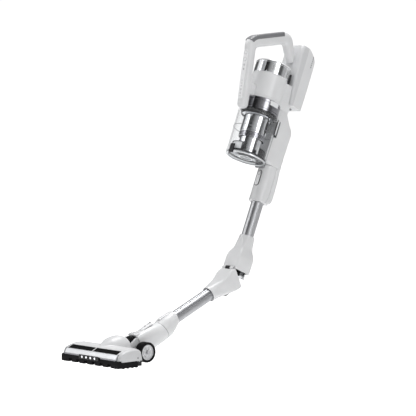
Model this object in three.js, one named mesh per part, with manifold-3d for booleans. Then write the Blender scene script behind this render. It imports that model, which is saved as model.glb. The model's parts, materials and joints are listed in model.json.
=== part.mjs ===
// Cordless stick vacuum with a folding wand, in millimetres.
// +X is sideways, -Y is the way the floor head faces, +Z is up.
// The pose is the working one: head flat on the floor, knee bent, main unit leaning back.
import * as THREE from 'three';
import { mergeVertices } from 'three/addons/utils/BufferGeometryUtils.js';
import { LoftGeometry } from 'three/addons/geometries/LoftGeometry.js';
import Module from 'manifold-3d';

const wasm = await Module();
wasm.setup();

// ---------------------------------------------------------------- driving dimensions

const GAP = 0.3;
const KNEE_POINT = { y: 518, z: 203 };
const UPPER_TILT = 67;
const LOWER_TILT = 23.8;
const ROUND_STEPS = 24;
const PIN_STEPS = 16;
const CORNER_STEPS = 3;

// Upper frame: Y runs up the wand from the knee point, Z points forward.
const TUBE = { radius: 17.5, wall: 2, top: 292, bottom: 80 };
const KNEE = { hingeOffset: 35.7, faceGap: 0.5, socketEnd: 125 };
const KNUCKLE = { pinRadius: 2.5, radius: 6, half: 9, outerHalf: 22 };
const KNEE_LATCH = { halfX: 11, tip: -2, top: 38, low: -24.5, high: -22, hook: 5, hookHigh: -19.5 };
const KNEE_BUTTON = { halfX: 8, start: -61, end: -43, low: -30, high: -22, slotTop: -15 };
const CONNECTOR = { bottom: 220, top: 328, halfX: 25.6, front: 25.6, back: -34, backTop: -30 };
const CYCLONE_AXIS = 93;
const BIN = { bottom: 323, top: 449, lowRadius: 57, topRadius: 59, wall: 2.5, mouthRadius: 50, rim: 2.5 };
const LID = { bottom: 317, radius: 56.8, dish: 3, rimWidth: 5, hingeY: 318, hingeZ: 31.5 };
const LID_LATCH = { halfX: 8, clearance: 1.2, thickness: 3.5, nib: 1, below: 5, above: 15 };
const SEAL = { outer: 52.5, inner: 48.5, height: 3 };
const BAND = { radius: 53, inner: 47, top: 488 };
const SHROUD = { radius: 38, wall: 2, bottom: 374, flangeRadius: 46.6, flange: 3 };
const CONE = { bottom: 328, topRadius: 33, bottomRadius: 30, wall: 2, top: 444 };
const MOTOR = { radius: 50.5, wall: 4.5, top: 564, inlet: 30, floor: 3 };
const FAN = { bottom: 548, top: 558, radius: 40, bore: 3.6, shaft: 3, motorRadius: 38, motorTop: 541 };
const EXHAUST = { radius: 50.5, wall: 3, top: 598, capHeight: 6, filterInner: 30 };
const BATTERY = { bottom: 512, halfX: 37, split: 12 };
const HANDLE = { halfX: 14, halfDepth: 13.5, round: 10, cornerRadius: 24 };
const HANDLE_PATH = [[452, 161.5], [622, 199], [691, 77], [640, 33]];
const GRIP = { halfX: 13.5, depth: 11, endDepth: 4, ramp: 10, margin: 22 };
const PANEL = { halfX: 8.5, depth: 3.5, sunk: 2.7, start: 14, end: 154 };
const BUTTON = { radius: 5, proud: 0.8, travel: 1.8, power: 146, mode: 126 };

// Lower frame: Y runs up the wand from the head towards the knee point, Z points up and forward.
const WAND_END = { top: -251, seam: -305, spigotEnd: -340, spigotRadius: 18.9, seamDrop: 9 };
const NECK = { front: -398, halfX: 23.5, mouth: 17.5, mouthRise: 5, axisDrop: 8.75 };
const CHEEK = { radius: 11, inner: 13, outer: 22 };
const LATCH = { halfX: 9, near: -368, far: -328, low: 22, high: 31.5, pocket: 20 };

// Head frame: Y runs back from the front edge, Z is up from the floor.
const AXLE = { y: 146, z: 27, radius: 4, half: 62 };
const WHEEL = { radius: 27, hubRadius: 20.7, inner: 36, outer: 60 };
const TRUCK = { pinY: 98, pinRadius: 5, armInner: 26.5, armOuter: 33.5, floorGap: 6, plate: 4 };
const BELLOWS = { radius: 12.5, start: 96, z: 46 };
const HEAD = { half: 118, capInner: 106, length: 80, sole: 4, baseTop: 14, height: 49.5 };
const BRUSH = { y: 28, z: 20.5, chamber: 20.9, tip: 18.8, coreRadius: 12, half: 98, pulleyRadius: 9 };
const BRUSH_MOTOR = { y: 64, z: 26, radius: 9.5, start: 30, end: 86, pulleyRadius: 5, shaftRadius: 1.5 };
const BELT = { start: 92, end: 98, thickness: 1.5 };
const MOUTH = { half: 98, front: 10, back: 47 };
const BUMPER = { front: -4, back: 6.8, top: 22, toothTop: 12, toothBottom: 3, teeth: 7, toothWidth: 20 };
const SKIRT = { inner: 112, back: 63, top: 18.3 };
const WINDOW = { front: [6, 38], back: [21.5, 44.6], depth: 2.2, inner: 3, outer: 101 };
const TRIM_FRONT = [[-2.6, BUMPER.top + GAP], [4.4, 37.4]];
const LIGHTS = { half: 41, spacing: 17.3, count: 4, lens: 3, bottom: 16, top: 27, depth: 3 };
const SOLE_ROLLER = { x: 60, y: 68, radius: 5, half: 5, stub: 1.5, stubHalf: 8 };

// ---------------------------------------------------------------- materials

const finish = (color, roughness, metalness = 0, more = {}) =>
  new THREE.MeshStandardMaterial({ color, roughness, metalness, ...more });

const WHITE = finish(0xeceded, 0.35);
const WHITE_TRIM = finish(0xf5f5f5, 0.25);
const DARK_PLASTIC = finish(0x1b1c1e, 0.45);
const SOFT_GREY = finish(0x6c6e72, 0.7);
const RUBBER = finish(0x0f0f10, 0.8);
const CHROME = finish(0xd8dade, 0.12, 1);
const ALUMINIUM = finish(0xb9bbc0, 0.3, 1);
const STEEL = finish(0x9a9ca0, 0.3, 1);
const DARK_METAL = finish(0x4b4d52, 0.2, 0.9);
const CLEAR = finish(0xdfe6ea, 0.05, 0, { transparent: true, opacity: 0.35 });
const SMOKED = finish(0x15171a, 0.08, 0, { transparent: true, opacity: 0.8 });
const FILTER = finish(0xf2efe4, 0.9);
const BRISTLE = finish(0x3a3d42, 0.9);

// ---------------------------------------------------------------- solids

const radians = THREE.MathUtils.degToRad;

function signedVolume(positions, triangles) {
  const corner = [0, 1, 2].map(() => new THREE.Vector3());
  let volume = 0;
  for (let i = 0; i < triangles.length; i += 3) {
    corner.forEach((point, k) => point.fromArray(positions, triangles[i + k] * 3));
    volume += corner[0].dot(corner[1].cross(corner[2])) / 6;
  }
  return volume;
}

// A closed three.js geometry as a manifold solid with its faces pointing out.
function solid(geometry) {
  const bare = new THREE.BufferGeometry().copy(geometry);
  bare.deleteAttribute('normal');
  bare.deleteAttribute('uv');
  const merged = mergeVertices(bare, 1e-4);
  const positions = merged.attributes.position.array;
  const corners = [];
  for (let i = 0; i < merged.index.count; i += 3) {
    const [a, b, c] = [0, 1, 2].map((k) => merged.index.getX(i + k));
    if (a !== b && b !== c && c !== a) {
      corners.push(a, b, c);
    }
  }
  if (signedVolume(positions, corners) < 0) {
    corners.reverse();
  }
  return new wasm.Manifold(new wasm.Mesh({
    numProp: 3,
    vertProperties: new Float32Array(positions),
    triVerts: new Uint32Array(corners),
  }));
}

const join = (first, ...others) => others.reduce((sum, next) => sum.add(next), first);
const cut = (first, ...tools) => tools.reduce((rest, tool) => rest.subtract(tool), first);

function meshGeometry(manifold) {
  const mesh = manifold.getMesh();
  const geometry = new THREE.BufferGeometry();
  geometry.setAttribute('position', new THREE.BufferAttribute(mesh.vertProperties, 3));
  geometry.setIndex(new THREE.BufferAttribute(mesh.triVerts, 1));
  geometry.computeVertexNormals();
  return geometry;
}

function addPart(group, name, manifold, material) {
  const mesh = new THREE.Mesh(meshGeometry(manifold), material);
  mesh.name = name;
  group.add(mesh);
}

function block([x0, x1], [y0, y1], [z0, z1]) {
  const box = new THREE.BoxGeometry(x1 - x0, y1 - y0, z1 - z0);
  return solid(box.translate((x0 + x1) / 2, (y0 + y1) / 2, (z0 + z1) / 2));
}

// A cylinder along Y, centred on (x, z).
function rodY(radius, y0, y1, x = 0, z = 0, steps = ROUND_STEPS) {
  const rod = new THREE.CylinderGeometry(radius, radius, y1 - y0, steps);
  return solid(rod.translate(x, (y0 + y1) / 2, z));
}

// A cylinder along X, centred on (y, z).
function rodX(radius, x0, x1, y, z, steps = ROUND_STEPS) {
  const rod = new THREE.CylinderGeometry(radius, radius, x1 - x0, steps);
  return solid(rod.rotateZ(-Math.PI / 2).translate((x0 + x1) / 2, y, z));
}

// A cylinder along Z, centred on (x, y).
function rodZ(radius, z0, z1, x, y, steps = ROUND_STEPS) {
  const rod = new THREE.CylinderGeometry(radius, radius, z1 - z0, steps);
  return solid(rod.rotateX(Math.PI / 2).translate(x, y, (z0 + z1) / 2));
}

// A turned solid about the line x = 0, z = axis. The profile closes on itself or ends on the axis.
function turned(profile, axis = 0, steps = ROUND_STEPS) {
  const points = profile.map(([radius, y]) => new THREE.Vector2(radius, y));
  return solid(new THREE.LatheGeometry(points, steps).translate(0, 0, axis));
}

function pipe(outer, inner, y0, y1, axis = 0, steps = ROUND_STEPS) {
  return turned([[inner, y0], [outer, y0], [outer, y1], [inner, y1], [inner, y0]], axis, steps);
}

// An outline in the (y, z) plane, carried along X.
function sideProfile(points, x0, x1) {
  const shape = new THREE.Shape(points.map(([y, z]) => new THREE.Vector2(z, y)));
  const slab = new THREE.ExtrudeGeometry(shape, { depth: x1 - x0, bevelEnabled: false });
  return solid(slab.rotateY(-Math.PI / 2).translate(x1, 0, 0));
}

// A round-ended plate in the (x, y) plane, from z0 to z1.
function stadium(halfWidth, y0, y1, z0, z1) {
  const shape = new THREE.Shape();
  shape.absarc(0, y1 - halfWidth, halfWidth, 0, Math.PI);
  shape.absarc(0, y0 + halfWidth, halfWidth, Math.PI, 2 * Math.PI);
  const plate = new THREE.ExtrudeGeometry(shape, { depth: z1 - z0, bevelEnabled: false, curveSegments: 8 });
  return solid(plate.translate(0, 0, z0));
}

// One ring of points: a rectangle with round corners, across the Y axis at height `at`.
function ring({ at, halfX, front, back, round = halfX, frontRound = round, backRound = round, tilt = 0 }) {
  const most = Math.min(halfX, (front - back) / 2) - GAP / 2;
  const front2 = Math.min(frontRound, most);
  const back2 = Math.min(backRound, most);
  const corners = [
    [halfX - front2, front - front2, front2, 0],
    [halfX - back2, back + back2, back2, 1],
    [back2 - halfX, back + back2, back2, 2],
    [front2 - halfX, front - front2, front2, 3],
  ];
  const centre = new THREE.Vector3(0, at, (front + back) / 2);
  const slope = new THREE.Quaternion().setFromAxisAngle(new THREE.Vector3(1, 0, 0), radians(tilt));
  return corners.flatMap(([x, z, radius, quarter]) =>
    Array.from({ length: CORNER_STEPS + 1 }, (_, step) => {
      const angle = (quarter + step / CORNER_STEPS) * Math.PI / 2;
      const point = new THREE.Vector3(x + radius * Math.sin(angle), at, z + radius * Math.cos(angle));
      return point.sub(centre).applyQuaternion(slope).add(centre);
    }));
}

const loft = (...sections) => solid(new LoftGeometry(sections.map(ring), { capStart: true, capEnd: true }));

// A path in the (y, z) plane with its corners rounded, as points with directions.
function roundedPath(points, radius, steps = 6) {
  const at = points.map(([y, z]) => new THREE.Vector3(0, y, z));
  const path = [];
  const add = (point, direction) => path.push({ point, direction: direction.clone().normalize() });
  add(at[0], at[1].clone().sub(at[0]));
  for (let i = 1; i < at.length - 1; i += 1) {
    const before = at[i].clone().add(at[i - 1].clone().sub(at[i]).setLength(radius));
    const after = at[i].clone().add(at[i + 1].clone().sub(at[i]).setLength(radius));
    const bend = new THREE.QuadraticBezierCurve3(before, at[i], after);
    for (let step = 0; step <= steps; step += 1) {
      add(bend.getPoint(step / steps), bend.getTangent(step / steps));
    }
  }
  add(at.at(-1), at.at(-1).clone().sub(at.at(-2)));
  return path;
}

// A bar of one cross-section swept along such a path.
function sweep(path, section) {
  const flat = ring({ at: 0, ...section });
  const rings = path.map(({ point, direction }) => {
    const forward = new THREE.Vector3(0, -direction.z, direction.y);
    return flat.map((corner) => point.clone().addScaledVector(forward, corner.z).setX(corner.x));
  });
  return solid(new LoftGeometry(rings, { capStart: true, capEnd: true }));
}

const roundBar = (radius) => ({ halfX: radius, front: radius, back: -radius });

function nestedGroup(parent, y, z, tilt) {
  const group = new THREE.Group();
  group.position.set(0, y, z);
  group.rotation.x = radians(tilt);
  parent.add(group);
  return group;
}

// ---------------------------------------------------------------- derived places

const HALF_BEND = radians(UPPER_TILT - LOWER_TILT) / 2;
const HINGE = { y: KNEE.hingeOffset * Math.sin(HALF_BEND), z: KNEE.hingeOffset * Math.cos(HALF_BEND) };

// A point of the lower frame, seen in the head frame, and back.
function lowerToHead(y, z) {
  const point = new THREE.Vector2(y, z).rotateAround(new THREE.Vector2(), radians(LOWER_TILT));
  return { y: KNEE_POINT.y + point.x, z: KNEE_POINT.z + point.y };
}

function headToLower(y, z) {
  const offset = new THREE.Vector2(y - KNEE_POINT.y, z - KNEE_POINT.z);
  const point = offset.rotateAround(new THREE.Vector2(), -radians(LOWER_TILT));
  return { y: point.x, z: point.y };
}

const PIVOT = headToLower(AXLE.y, AXLE.z);

// ---------------------------------------------------------------- main unit

// The battery block, with its front face leaning forward and its top rear corner rounded off.
function batteryBlock(grow) {
  const half = BATTERY.halfX + grow;
  const face = (at, front, back, halfX = half, round = 8) =>
    ({ at, halfX, front: front + grow, back: back - grow, round });
  return loft(
    face(BATTERY.bottom - grow, 22, -26, half - 1),
    face(BATTERY.bottom + 48, 29, -28),
    face(BATTERY.bottom + 88, 33.5, -28),
    face(BATTERY.bottom + 136, 38, -28),
    face(BATTERY.bottom + 159, 38, -22),
    face(BATTERY.bottom + 173, 37, -9, half - 1),
    face(BATTERY.bottom + 180 + grow, 34, 4, half - 4),
  );
}

const bore = (y0, y1, radius = TUBE.radius + GAP) => rodY(radius, y0, y1);
const cycloneRod = (radius, y0, y1) => rodY(radius, y0, y1, 0, CYCLONE_AXIS);
const farX = [-HEAD.half, HEAD.half];

function mainChassis() {
  const wall = { halfX: CONNECTOR.halfX, frontRound: 12, backRound: 10 };
  const spine = loft(
    { at: CONNECTOR.top + GAP, front: 26, back: CONNECTOR.backTop, ...wall },
    { at: BIN.bottom + 20, front: 46, back: CONNECTOR.backTop, ...wall },
    { at: BIN.top - 8, front: 46, back: CONNECTOR.backTop, ...wall },
    { at: BAND.top - 5, front: 46, back: 4, ...wall },
    { at: BAND.top - GAP, front: 46, back: 5, ...wall },
  );
  const duct = bore(CONNECTOR.top - 1, BIN.top - 14, TUBE.radius - TUBE.wall);
  const port = block([-13, 13], [BIN.top - 38, BIN.top - 14], [0, CYCLONE_AXIS]);
  const hingeNotch = block([-19, 19], [BIN.bottom - 15, BIN.bottom + 14], [26.5, 50]);
  return cut(spine, cycloneRod(BIN.topRadius + 1, BIN.bottom - 10, BIN.top + GAP),
    cycloneRod(BAND.radius + GAP, BIN.top, BAND.top + 1), duct, port, hingeNotch);
}

function motorHousing() {
  const floor = BAND.top + MOTOR.floor;
  const inner = MOTOR.radius - MOTOR.wall;
  const can = turned([[MOTOR.inlet, BAND.top], [MOTOR.radius, BAND.top], [MOTOR.radius, MOTOR.top - GAP],
    [inner, MOTOR.top - GAP], [inner, floor], [MOTOR.inlet, floor], [MOTOR.inlet, BAND.top]], CYCLONE_AXIS);
  const side = { frontRound: 4, backRound: 10, front: 60 };
  const fairing = loft(
    { at: BAND.top, halfX: CONNECTOR.halfX, back: 5, ...side },
    { at: BATTERY.bottom, halfX: 29, back: 8, ...side },
    { at: MOTOR.top - GAP, halfX: 30, back: 20, ...side },
  );
  return join(can, cut(fairing, cycloneRod(inner + 1, BAND.top - 1, MOTOR.top), batteryBlock(GAP)));
}

function buildAirPath(group) {
  const motorBase = BAND.top + MOTOR.floor + GAP;
  const shaftTop = MOTOR.top - 2;
  addPart(group, 'main_chassis', mainChassis(), WHITE);
  addPart(group, 'motor_housing', motorHousing(), WHITE);
  addPart(group, 'suction_motor', turned([[0, motorBase], [MOTOR.radius - MOTOR.wall - 1, motorBase],
    [MOTOR.radius - MOTOR.wall - 1, motorBase + 3], [FAN.motorRadius, motorBase + 3],
    [FAN.motorRadius, FAN.motorTop], [FAN.shaft, FAN.motorTop], [FAN.shaft, shaftTop], [0, shaftTop]],
  CYCLONE_AXIS), STEEL);
  addPart(group, 'impeller', pipe(FAN.radius, FAN.bore, FAN.bottom, FAN.top, CYCLONE_AXIS), ALUMINIUM);
  addPart(group, 'cyclone_band',
    pipe(BAND.radius, BAND.inner, BIN.top + GAP, BAND.top - GAP, CYCLONE_AXIS), DARK_METAL);
  const flange = BIN.top + 1;
  addPart(group, 'cyclone_shroud', turned([[SHROUD.radius - SHROUD.wall, SHROUD.bottom],
    [SHROUD.radius, SHROUD.bottom], [SHROUD.radius, flange], [SHROUD.flangeRadius, flange],
    [SHROUD.flangeRadius, flange + SHROUD.flange], [SHROUD.radius - SHROUD.wall, flange + SHROUD.flange],
    [SHROUD.radius - SHROUD.wall, SHROUD.bottom]], CYCLONE_AXIS), CHROME);
  addPart(group, 'cyclone_cone', turned([[CONE.bottomRadius - CONE.wall, CONE.bottom],
    [CONE.bottomRadius, CONE.bottom], [CONE.topRadius, CONE.top], [CONE.topRadius - CONE.wall, CONE.top],
    [CONE.bottomRadius - CONE.wall, CONE.bottom]], CYCLONE_AXIS), CHROME);
}

function buildFilterCap(group) {
  addPart(group, 'exhaust_ring',
    pipe(EXHAUST.radius, EXHAUST.radius - EXHAUST.wall, MOTOR.top, EXHAUST.top, CYCLONE_AXIS), CHROME);
  addPart(group, 'hepa_filter', pipe(EXHAUST.radius - EXHAUST.wall - GAP, EXHAUST.filterInner,
    MOTOR.top + 2, EXHAUST.top - 4, CYCLONE_AXIS), FILTER);
  const lid = EXHAUST.top + GAP;
  addPart(group, 'top_cap', turned([[0, lid], [EXHAUST.radius, lid], [EXHAUST.radius, lid + 2],
    [EXHAUST.radius - 4, lid + EXHAUST.capHeight - 1], [0, lid + EXHAUST.capHeight]], CYCLONE_AXIS), WHITE);
}

function buildBattery(group) {
  const rear = block(farX, [0, 2 * BATTERY.bottom], [-CYCLONE_AXIS, BATTERY.split - GAP]);
  const front = block(farX, [0, 2 * BATTERY.bottom], [BATTERY.split, CYCLONE_AXIS]);
  const button = { half: 9, low: -14, high: 0, out: 3, in: 2.5, travel: 3.5 };
  const pocketTop = BATTERY.bottom + button.in + button.travel;
  const pocket = block([-button.half - GAP, button.half + GAP], [0, pocketTop],
    [button.low - GAP, button.high + GAP]);
  addPart(group, 'battery_dock', batteryBlock(0).intersect(front), WHITE);
  addPart(group, 'battery_pack', cut(batteryBlock(0).intersect(rear), pocket), WHITE);
  addPart(group, 'battery_button', block([-button.half, button.half],
    [BATTERY.bottom - button.out, BATTERY.bottom + button.in], [button.low, button.high]), SOFT_GREY);
}

function buildBin(group) {
  const rim = BIN.top - BIN.rim;
  const base = BIN.bottom + GAP;
  const wall = turned([[BIN.lowRadius - BIN.wall, base], [BIN.lowRadius, base], [BIN.topRadius, BIN.top],
    [BIN.mouthRadius, BIN.top], [BIN.mouthRadius, rim], [BIN.topRadius - BIN.wall, rim],
    [BIN.lowRadius - BIN.wall, base]], CYCLONE_AXIS);
  const inlet = block([-13, 13], [BIN.top - 38, BIN.top - 14], [20, 50]);
  const pinHole = rodX(2 + GAP, -20, 20, LID.hingeY, LID.hingeZ, PIN_STEPS);
  const ears = [[-16, -10], [10, 16]].map((span) =>
    join(block(span, [LID.hingeY, BIN.bottom + 12], [27, 39]),
      rodX(4.5, ...span, LID.hingeY, LID.hingeZ, PIN_STEPS)));
  const hollow = cycloneRod(BIN.lowRadius - BIN.wall, BIN.bottom - 9, BIN.bottom + 13);
  const lidRoom = cycloneRod(LID.radius + 1, LID.bottom - 2, BIN.bottom + GAP);
  const trimmedEars = ears.map((ear) => cut(ear, hollow, lidRoom));
  addPart(group, 'dust_bin', cut(join(cut(wall, inlet), ...trimmedEars), pinHole), CLEAR);
  addPart(group, 'lid_hinge_pin', rodX(2, -17, 17, LID.hingeY, LID.hingeZ, PIN_STEPS), STEEL);
  const knuckle = join(block([-9.6, 9.6], [LID.bottom, BIN.bottom], [LID.hingeZ, 40]),
    rodX(4.5, -9.6, 9.6, LID.hingeY, LID.hingeZ, PIN_STEPS));
  const dish = turned([[0, LID.bottom + LID.dish], [LID.radius - LID.rimWidth, LID.bottom + LID.dish],
    [LID.radius - LID.rimWidth + 1, LID.bottom], [LID.radius, LID.bottom], [LID.radius, BIN.bottom],
    [0, BIN.bottom]], CYCLONE_AXIS);
  addPart(group, 'bin_lid', cut(join(dish, knuckle), pinHole), CLEAR);
  addPart(group, 'lid_seal',
    pipe(SEAL.outer, SEAL.inner, BIN.bottom + GAP, BIN.bottom + GAP + SEAL.height, CYCLONE_AXIS), RUBBER);
  const latchWidth = [-LID_LATCH.halfX, LID_LATCH.halfX];
  const latchZ = CYCLONE_AXIS + BIN.lowRadius + LID_LATCH.clearance;
  const latchEnd = LID.bottom - LID_LATCH.below;
  const leaf = block(latchWidth, [latchEnd, BIN.bottom + LID_LATCH.above],
    [latchZ, latchZ + LID_LATCH.thickness]);
  const nib = block(latchWidth, [latchEnd, LID.bottom - GAP],
    [latchZ - LID_LATCH.nib, latchZ + LID_LATCH.nib]);
  addPart(group, 'lid_latch', join(leaf, nib), DARK_PLASTIC);
}

// The bin's release lever lies on the bin wall beside the chassis.
function buildBinLever(group) {
  const side = new THREE.Group();
  side.position.set(0, 0, CYCLONE_AXIS);
  side.rotation.y = radians(128);
  group.add(side);
  const outside = BIN.topRadius + 1.5;
  addPart(side, 'bin_lever', stadium(8, BIN.top - 50, BIN.top - 3, outside, outside + 5), WHITE_TRIM);
}

function buildHandle(group) {
  const path = roundedPath(HANDLE_PATH, HANDLE.cornerRadius);
  const bar = { halfX: HANDLE.halfX, front: HANDLE.halfDepth, back: -HANDLE.halfDepth, round: HANDLE.round };
  const web = block([-11, 11], [BAND.top + 2, BAND.top + 30], [CYCLONE_AXIS + 40, CYCLONE_AXIS + 70]);
  const [foot, shoulder, heel] = HANDLE_PATH.map(([y, z]) => new THREE.Vector2(y, z));
  const legTilt = THREE.MathUtils.radToDeg(shoulder.clone().sub(foot).angle());
  const skin = HANDLE.halfDepth + GAP;
  const bed = skin - PANEL.sunk;
  const panelRoom = stadium(PANEL.halfX + GAP, PANEL.start - GAP, PANEL.end + GAP, bed - GAP, 2 * skin)
    .rotate([legTilt, 0, 0]).translate([0, foot.x, foot.y]);
  addPart(group, 'handle_frame', cut(join(sweep(path, bar), web), panelRoom, batteryBlock(GAP),
    cycloneRod(MOTOR.radius + GAP, BAND.top - 50, MOTOR.top + 9),
    cycloneRod(BIN.topRadius + 1, 0, BIN.top + 1)), WHITE);

  const leg = nestedGroup(group, foot.x, foot.y, legTilt);
  const holes = [BUTTON.power, BUTTON.mode].map((y) =>
    rodZ(BUTTON.radius + GAP, 0, 2 * skin, 0, y, PIN_STEPS));
  addPart(leg, 'handle_panel',
    cut(stadium(PANEL.halfX, PANEL.start, PANEL.end, bed, bed + PANEL.depth), ...holes), WHITE_TRIM);
  [['power_button', BUTTON.power], ['mode_button', BUTTON.mode]].forEach(([name, y]) =>
    addPart(leg, name, rodZ(BUTTON.radius, bed + BUTTON.travel, bed + PANEL.depth + BUTTON.proud, 0, y,
      PIN_STEPS), SOFT_GREY));

  const topBar = heel.clone().sub(shoulder);
  const top = nestedGroup(group, shoulder.x, shoulder.y, THREE.MathUtils.radToDeg(topBar.angle()));
  const end = { halfX: GRIP.halfX - 2, front: skin + GRIP.endDepth, back: skin, round: 2 };
  const full = { halfX: GRIP.halfX, front: skin + GRIP.depth, back: skin, frontRound: 8, backRound: 1 };
  addPart(top, 'grip_insert', loft(
    { at: GRIP.margin, ...end },
    { at: GRIP.margin + GRIP.ramp, ...full },
    { at: topBar.length() - GRIP.margin - GRIP.ramp, ...full },
    { at: topBar.length() - GRIP.margin, ...end },
  ), SOFT_GREY);
}

function buildConnector(group) {
  const shape = { halfX: CONNECTOR.halfX, front: CONNECTOR.front, frontRound: CONNECTOR.halfX };
  const outer = loft(
    { at: CONNECTOR.bottom, ...shape, back: CONNECTOR.back + 10, backRound: 16 },
    { at: CONNECTOR.bottom + 14, ...shape, back: CONNECTOR.back, backRound: 12 },
    { at: CONNECTOR.bottom + 60, ...shape, back: CONNECTOR.back, backRound: 10 },
    { at: CONNECTOR.top, ...shape, back: CONNECTOR.backTop, backRound: 10 },
  );
  const button = { halfX: 7, start: 44, end: 88, low: 23, high: 26.7, pocket: 20.9 };
  const [start, end] = [CONNECTOR.bottom + button.start, CONNECTOR.bottom + button.end];
  const pocket = stadium(button.halfX + GAP, start - GAP, end + GAP, button.pocket, 2 * button.high);
  addPart(group, 'wand_connector', cut(outer, bore(CONNECTOR.bottom - 1, TUBE.top + GAP),
    bore(TUBE.top, CONNECTOR.top + 1, TUBE.radius - TUBE.wall), pocket), WHITE);
  addPart(group, 'wand_button', stadium(button.halfX, start, end, button.low, button.high), WHITE_TRIM);
}

// ---------------------------------------------------------------- wand and knee

// One half of the knee: a shell around the hose with hinge knuckles at the front.
// `side` is 1 for the upper half and -1 for the lower one; `spans` are its own knuckles along X.
function kneeHalf(outer, side, spans, clearSpans) {
  const hinge = { y: side * HINGE.y, z: HINGE.z };
  const face = side * (HINGE.y + KNEE.faceGap);
  const tubeEnd = side * (TUBE.bottom - GAP);
  const order = (sections) => (side > 0 ? sections : sections.reverse());
  const hollow = loft(...order([
    { at: face - side * 2, halfX: 22, front: 23, back: -21.3, round: 12 },
    { at: side * 40, halfX: 22, front: 22, back: -21.3, round: 12 },
    { at: side * 66, halfX: 19, front: 17, back: -17, round: 14 },
    { at: tubeEnd + side, halfX: 17, front: 16, back: -16, round: 16 },
  ]));
  const socket = bore(...order([tubeEnd, side * KNEE.socketEnd]));
  const rodsAtHinge = (radius, list) =>
    list.map((span) => rodX(radius, ...span, hinge.y, hinge.z, PIN_STEPS));
  const knuckles = rodsAtHinge(KNUCKLE.radius, spans);
  const clearance = rodsAtHinge(KNUCKLE.radius + 2 * GAP, clearSpans);
  const [pinHole] = rodsAtHinge(KNUCKLE.pinRadius + GAP, [farX]);
  const facePlane = block(farX, order([face, face - side * 90]), [-90, 90]);
  const shell = cut(loft(...order(outer)), facePlane, ...clearance);
  return cut(join(shell, ...knuckles), hollow, socket, pinHole);
}

function buildUpperWand(group) {
  addPart(group, 'upper_tube', pipe(TUBE.radius, TUBE.radius - TUBE.wall, TUBE.bottom, TUBE.top), ALUMINIUM);
  const { half, outerHalf } = KNUCKLE;
  const inner = [[-half, half]];
  const outer = [[-outerHalf, -half - GAP], [half + GAP, outerHalf]];
  const grown = [[-outerHalf - GAP, -half], [half, outerHalf + GAP]];
  const latch = KNEE_LATCH;
  const latchRoom = block([-latch.halfX - GAP, latch.halfX + GAP], [0, latch.top + GAP],
    [latch.low - GAP, latch.high + 1]);
  addPart(group, 'upper_knee_housing', cut(kneeHalf([
    { at: HINGE.y, halfX: 28, front: 33, back: -27, round: 10 },
    { at: 30, halfX: 28, front: 33, back: -27, round: 10 },
    { at: 68, halfX: 26, front: 26, back: -25, round: 13 },
    { at: 92, halfX: 21.8, front: 21.8, back: -21.8 },
    { at: 117, halfX: 21.6, front: 21.6, back: -21.6 },
  ], 1, inner, grown), latchRoom), WHITE);
  addPart(group, 'knee_pin',
    rodX(KNUCKLE.pinRadius, -outerHalf - 2, outerHalf + 2, HINGE.y, HINGE.z, PIN_STEPS), STEEL);
  const width = [-latch.halfX, latch.halfX];
  addPart(group, 'knee_latch', join(block(width, [latch.tip, latch.top], [latch.low, latch.high]),
    block(width, [latch.tip, latch.tip + latch.hook], [latch.low, latch.hookHigh])), CHROME);
  return outer;
}

function buildLowerWand(group, outerSpans) {
  const centre = [[-KNUCKLE.half - GAP, KNUCKLE.half + GAP]];
  const housing = kneeHalf([
    { at: -HINGE.y, halfX: 28, front: 33, back: -28, round: 10 },
    { at: -30, halfX: 28, front: 33, back: -28, round: 10 },
    { at: -60, halfX: 26, front: 22.5, back: -25, round: 13 },
    { at: -86, halfX: 21.8, front: 21.8, back: -21.8 },
    { at: -111, halfX: 21.6, front: 21.6, back: -21.6 },
  ], -1, outerSpans, centre);
  const { halfX, start, end, low, high, slotTop } = KNEE_BUTTON;
  const slot = block([-halfX - GAP, halfX + GAP], [start - GAP, end + GAP], [2 * low, slotTop]);
  const notchHalf = KNEE_LATCH.halfX + 2 * GAP;
  const notchEnd = KNEE_LATCH.tip - 2 * HINGE.y - 2;
  const notch = block([-notchHalf, notchHalf], [notchEnd, 0], [2 * KNEE_LATCH.low, KNEE_LATCH.hookHigh + 1]);
  addPart(group, 'lower_knee_housing', cut(housing, slot, notch), WHITE);
  addPart(group, 'knee_button', block([-halfX, halfX], [start, end], [low, high]), DARK_PLASTIC);
  addPart(group, 'lower_tube',
    pipe(TUBE.radius, TUBE.radius - TUBE.wall, -TUBE.top, -TUBE.bottom), ALUMINIUM);
  addPart(group, 'wand_end', wandEnd(), WHITE);
}

// The sloping ring where the wand's lower end meets the neck.
function seamRing(at, grow = 0) {
  const radius = 27.8 + grow;
  const [front, back] = [radius - NECK.axisDrop, -radius - NECK.axisDrop];
  return { at, halfX: radius, front, back, tilt: WAND_END.seamDrop };
}

function wandEnd() {
  const shell = loft(
    seamRing(WAND_END.seam),
    { at: -284, halfX: 27, front: 21.5, back: -33, frontRound: 20, backRound: 24 },
    { at: -266, halfX: 24, front: 22, back: -26, frontRound: 19, backRound: 22 },
    { at: WAND_END.top, halfX: 20.5, front: 22, back: -19, frontRound: 18, backRound: 19 },
  );
  const spigot = rodY(WAND_END.spigotRadius, WAND_END.spigotEnd, -290);
  return cut(join(shell, spigot), bore(-TUBE.top - GAP, 0),
    bore(WAND_END.spigotEnd - 1, -TUBE.top, TUBE.radius - TUBE.wall));
}

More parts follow.
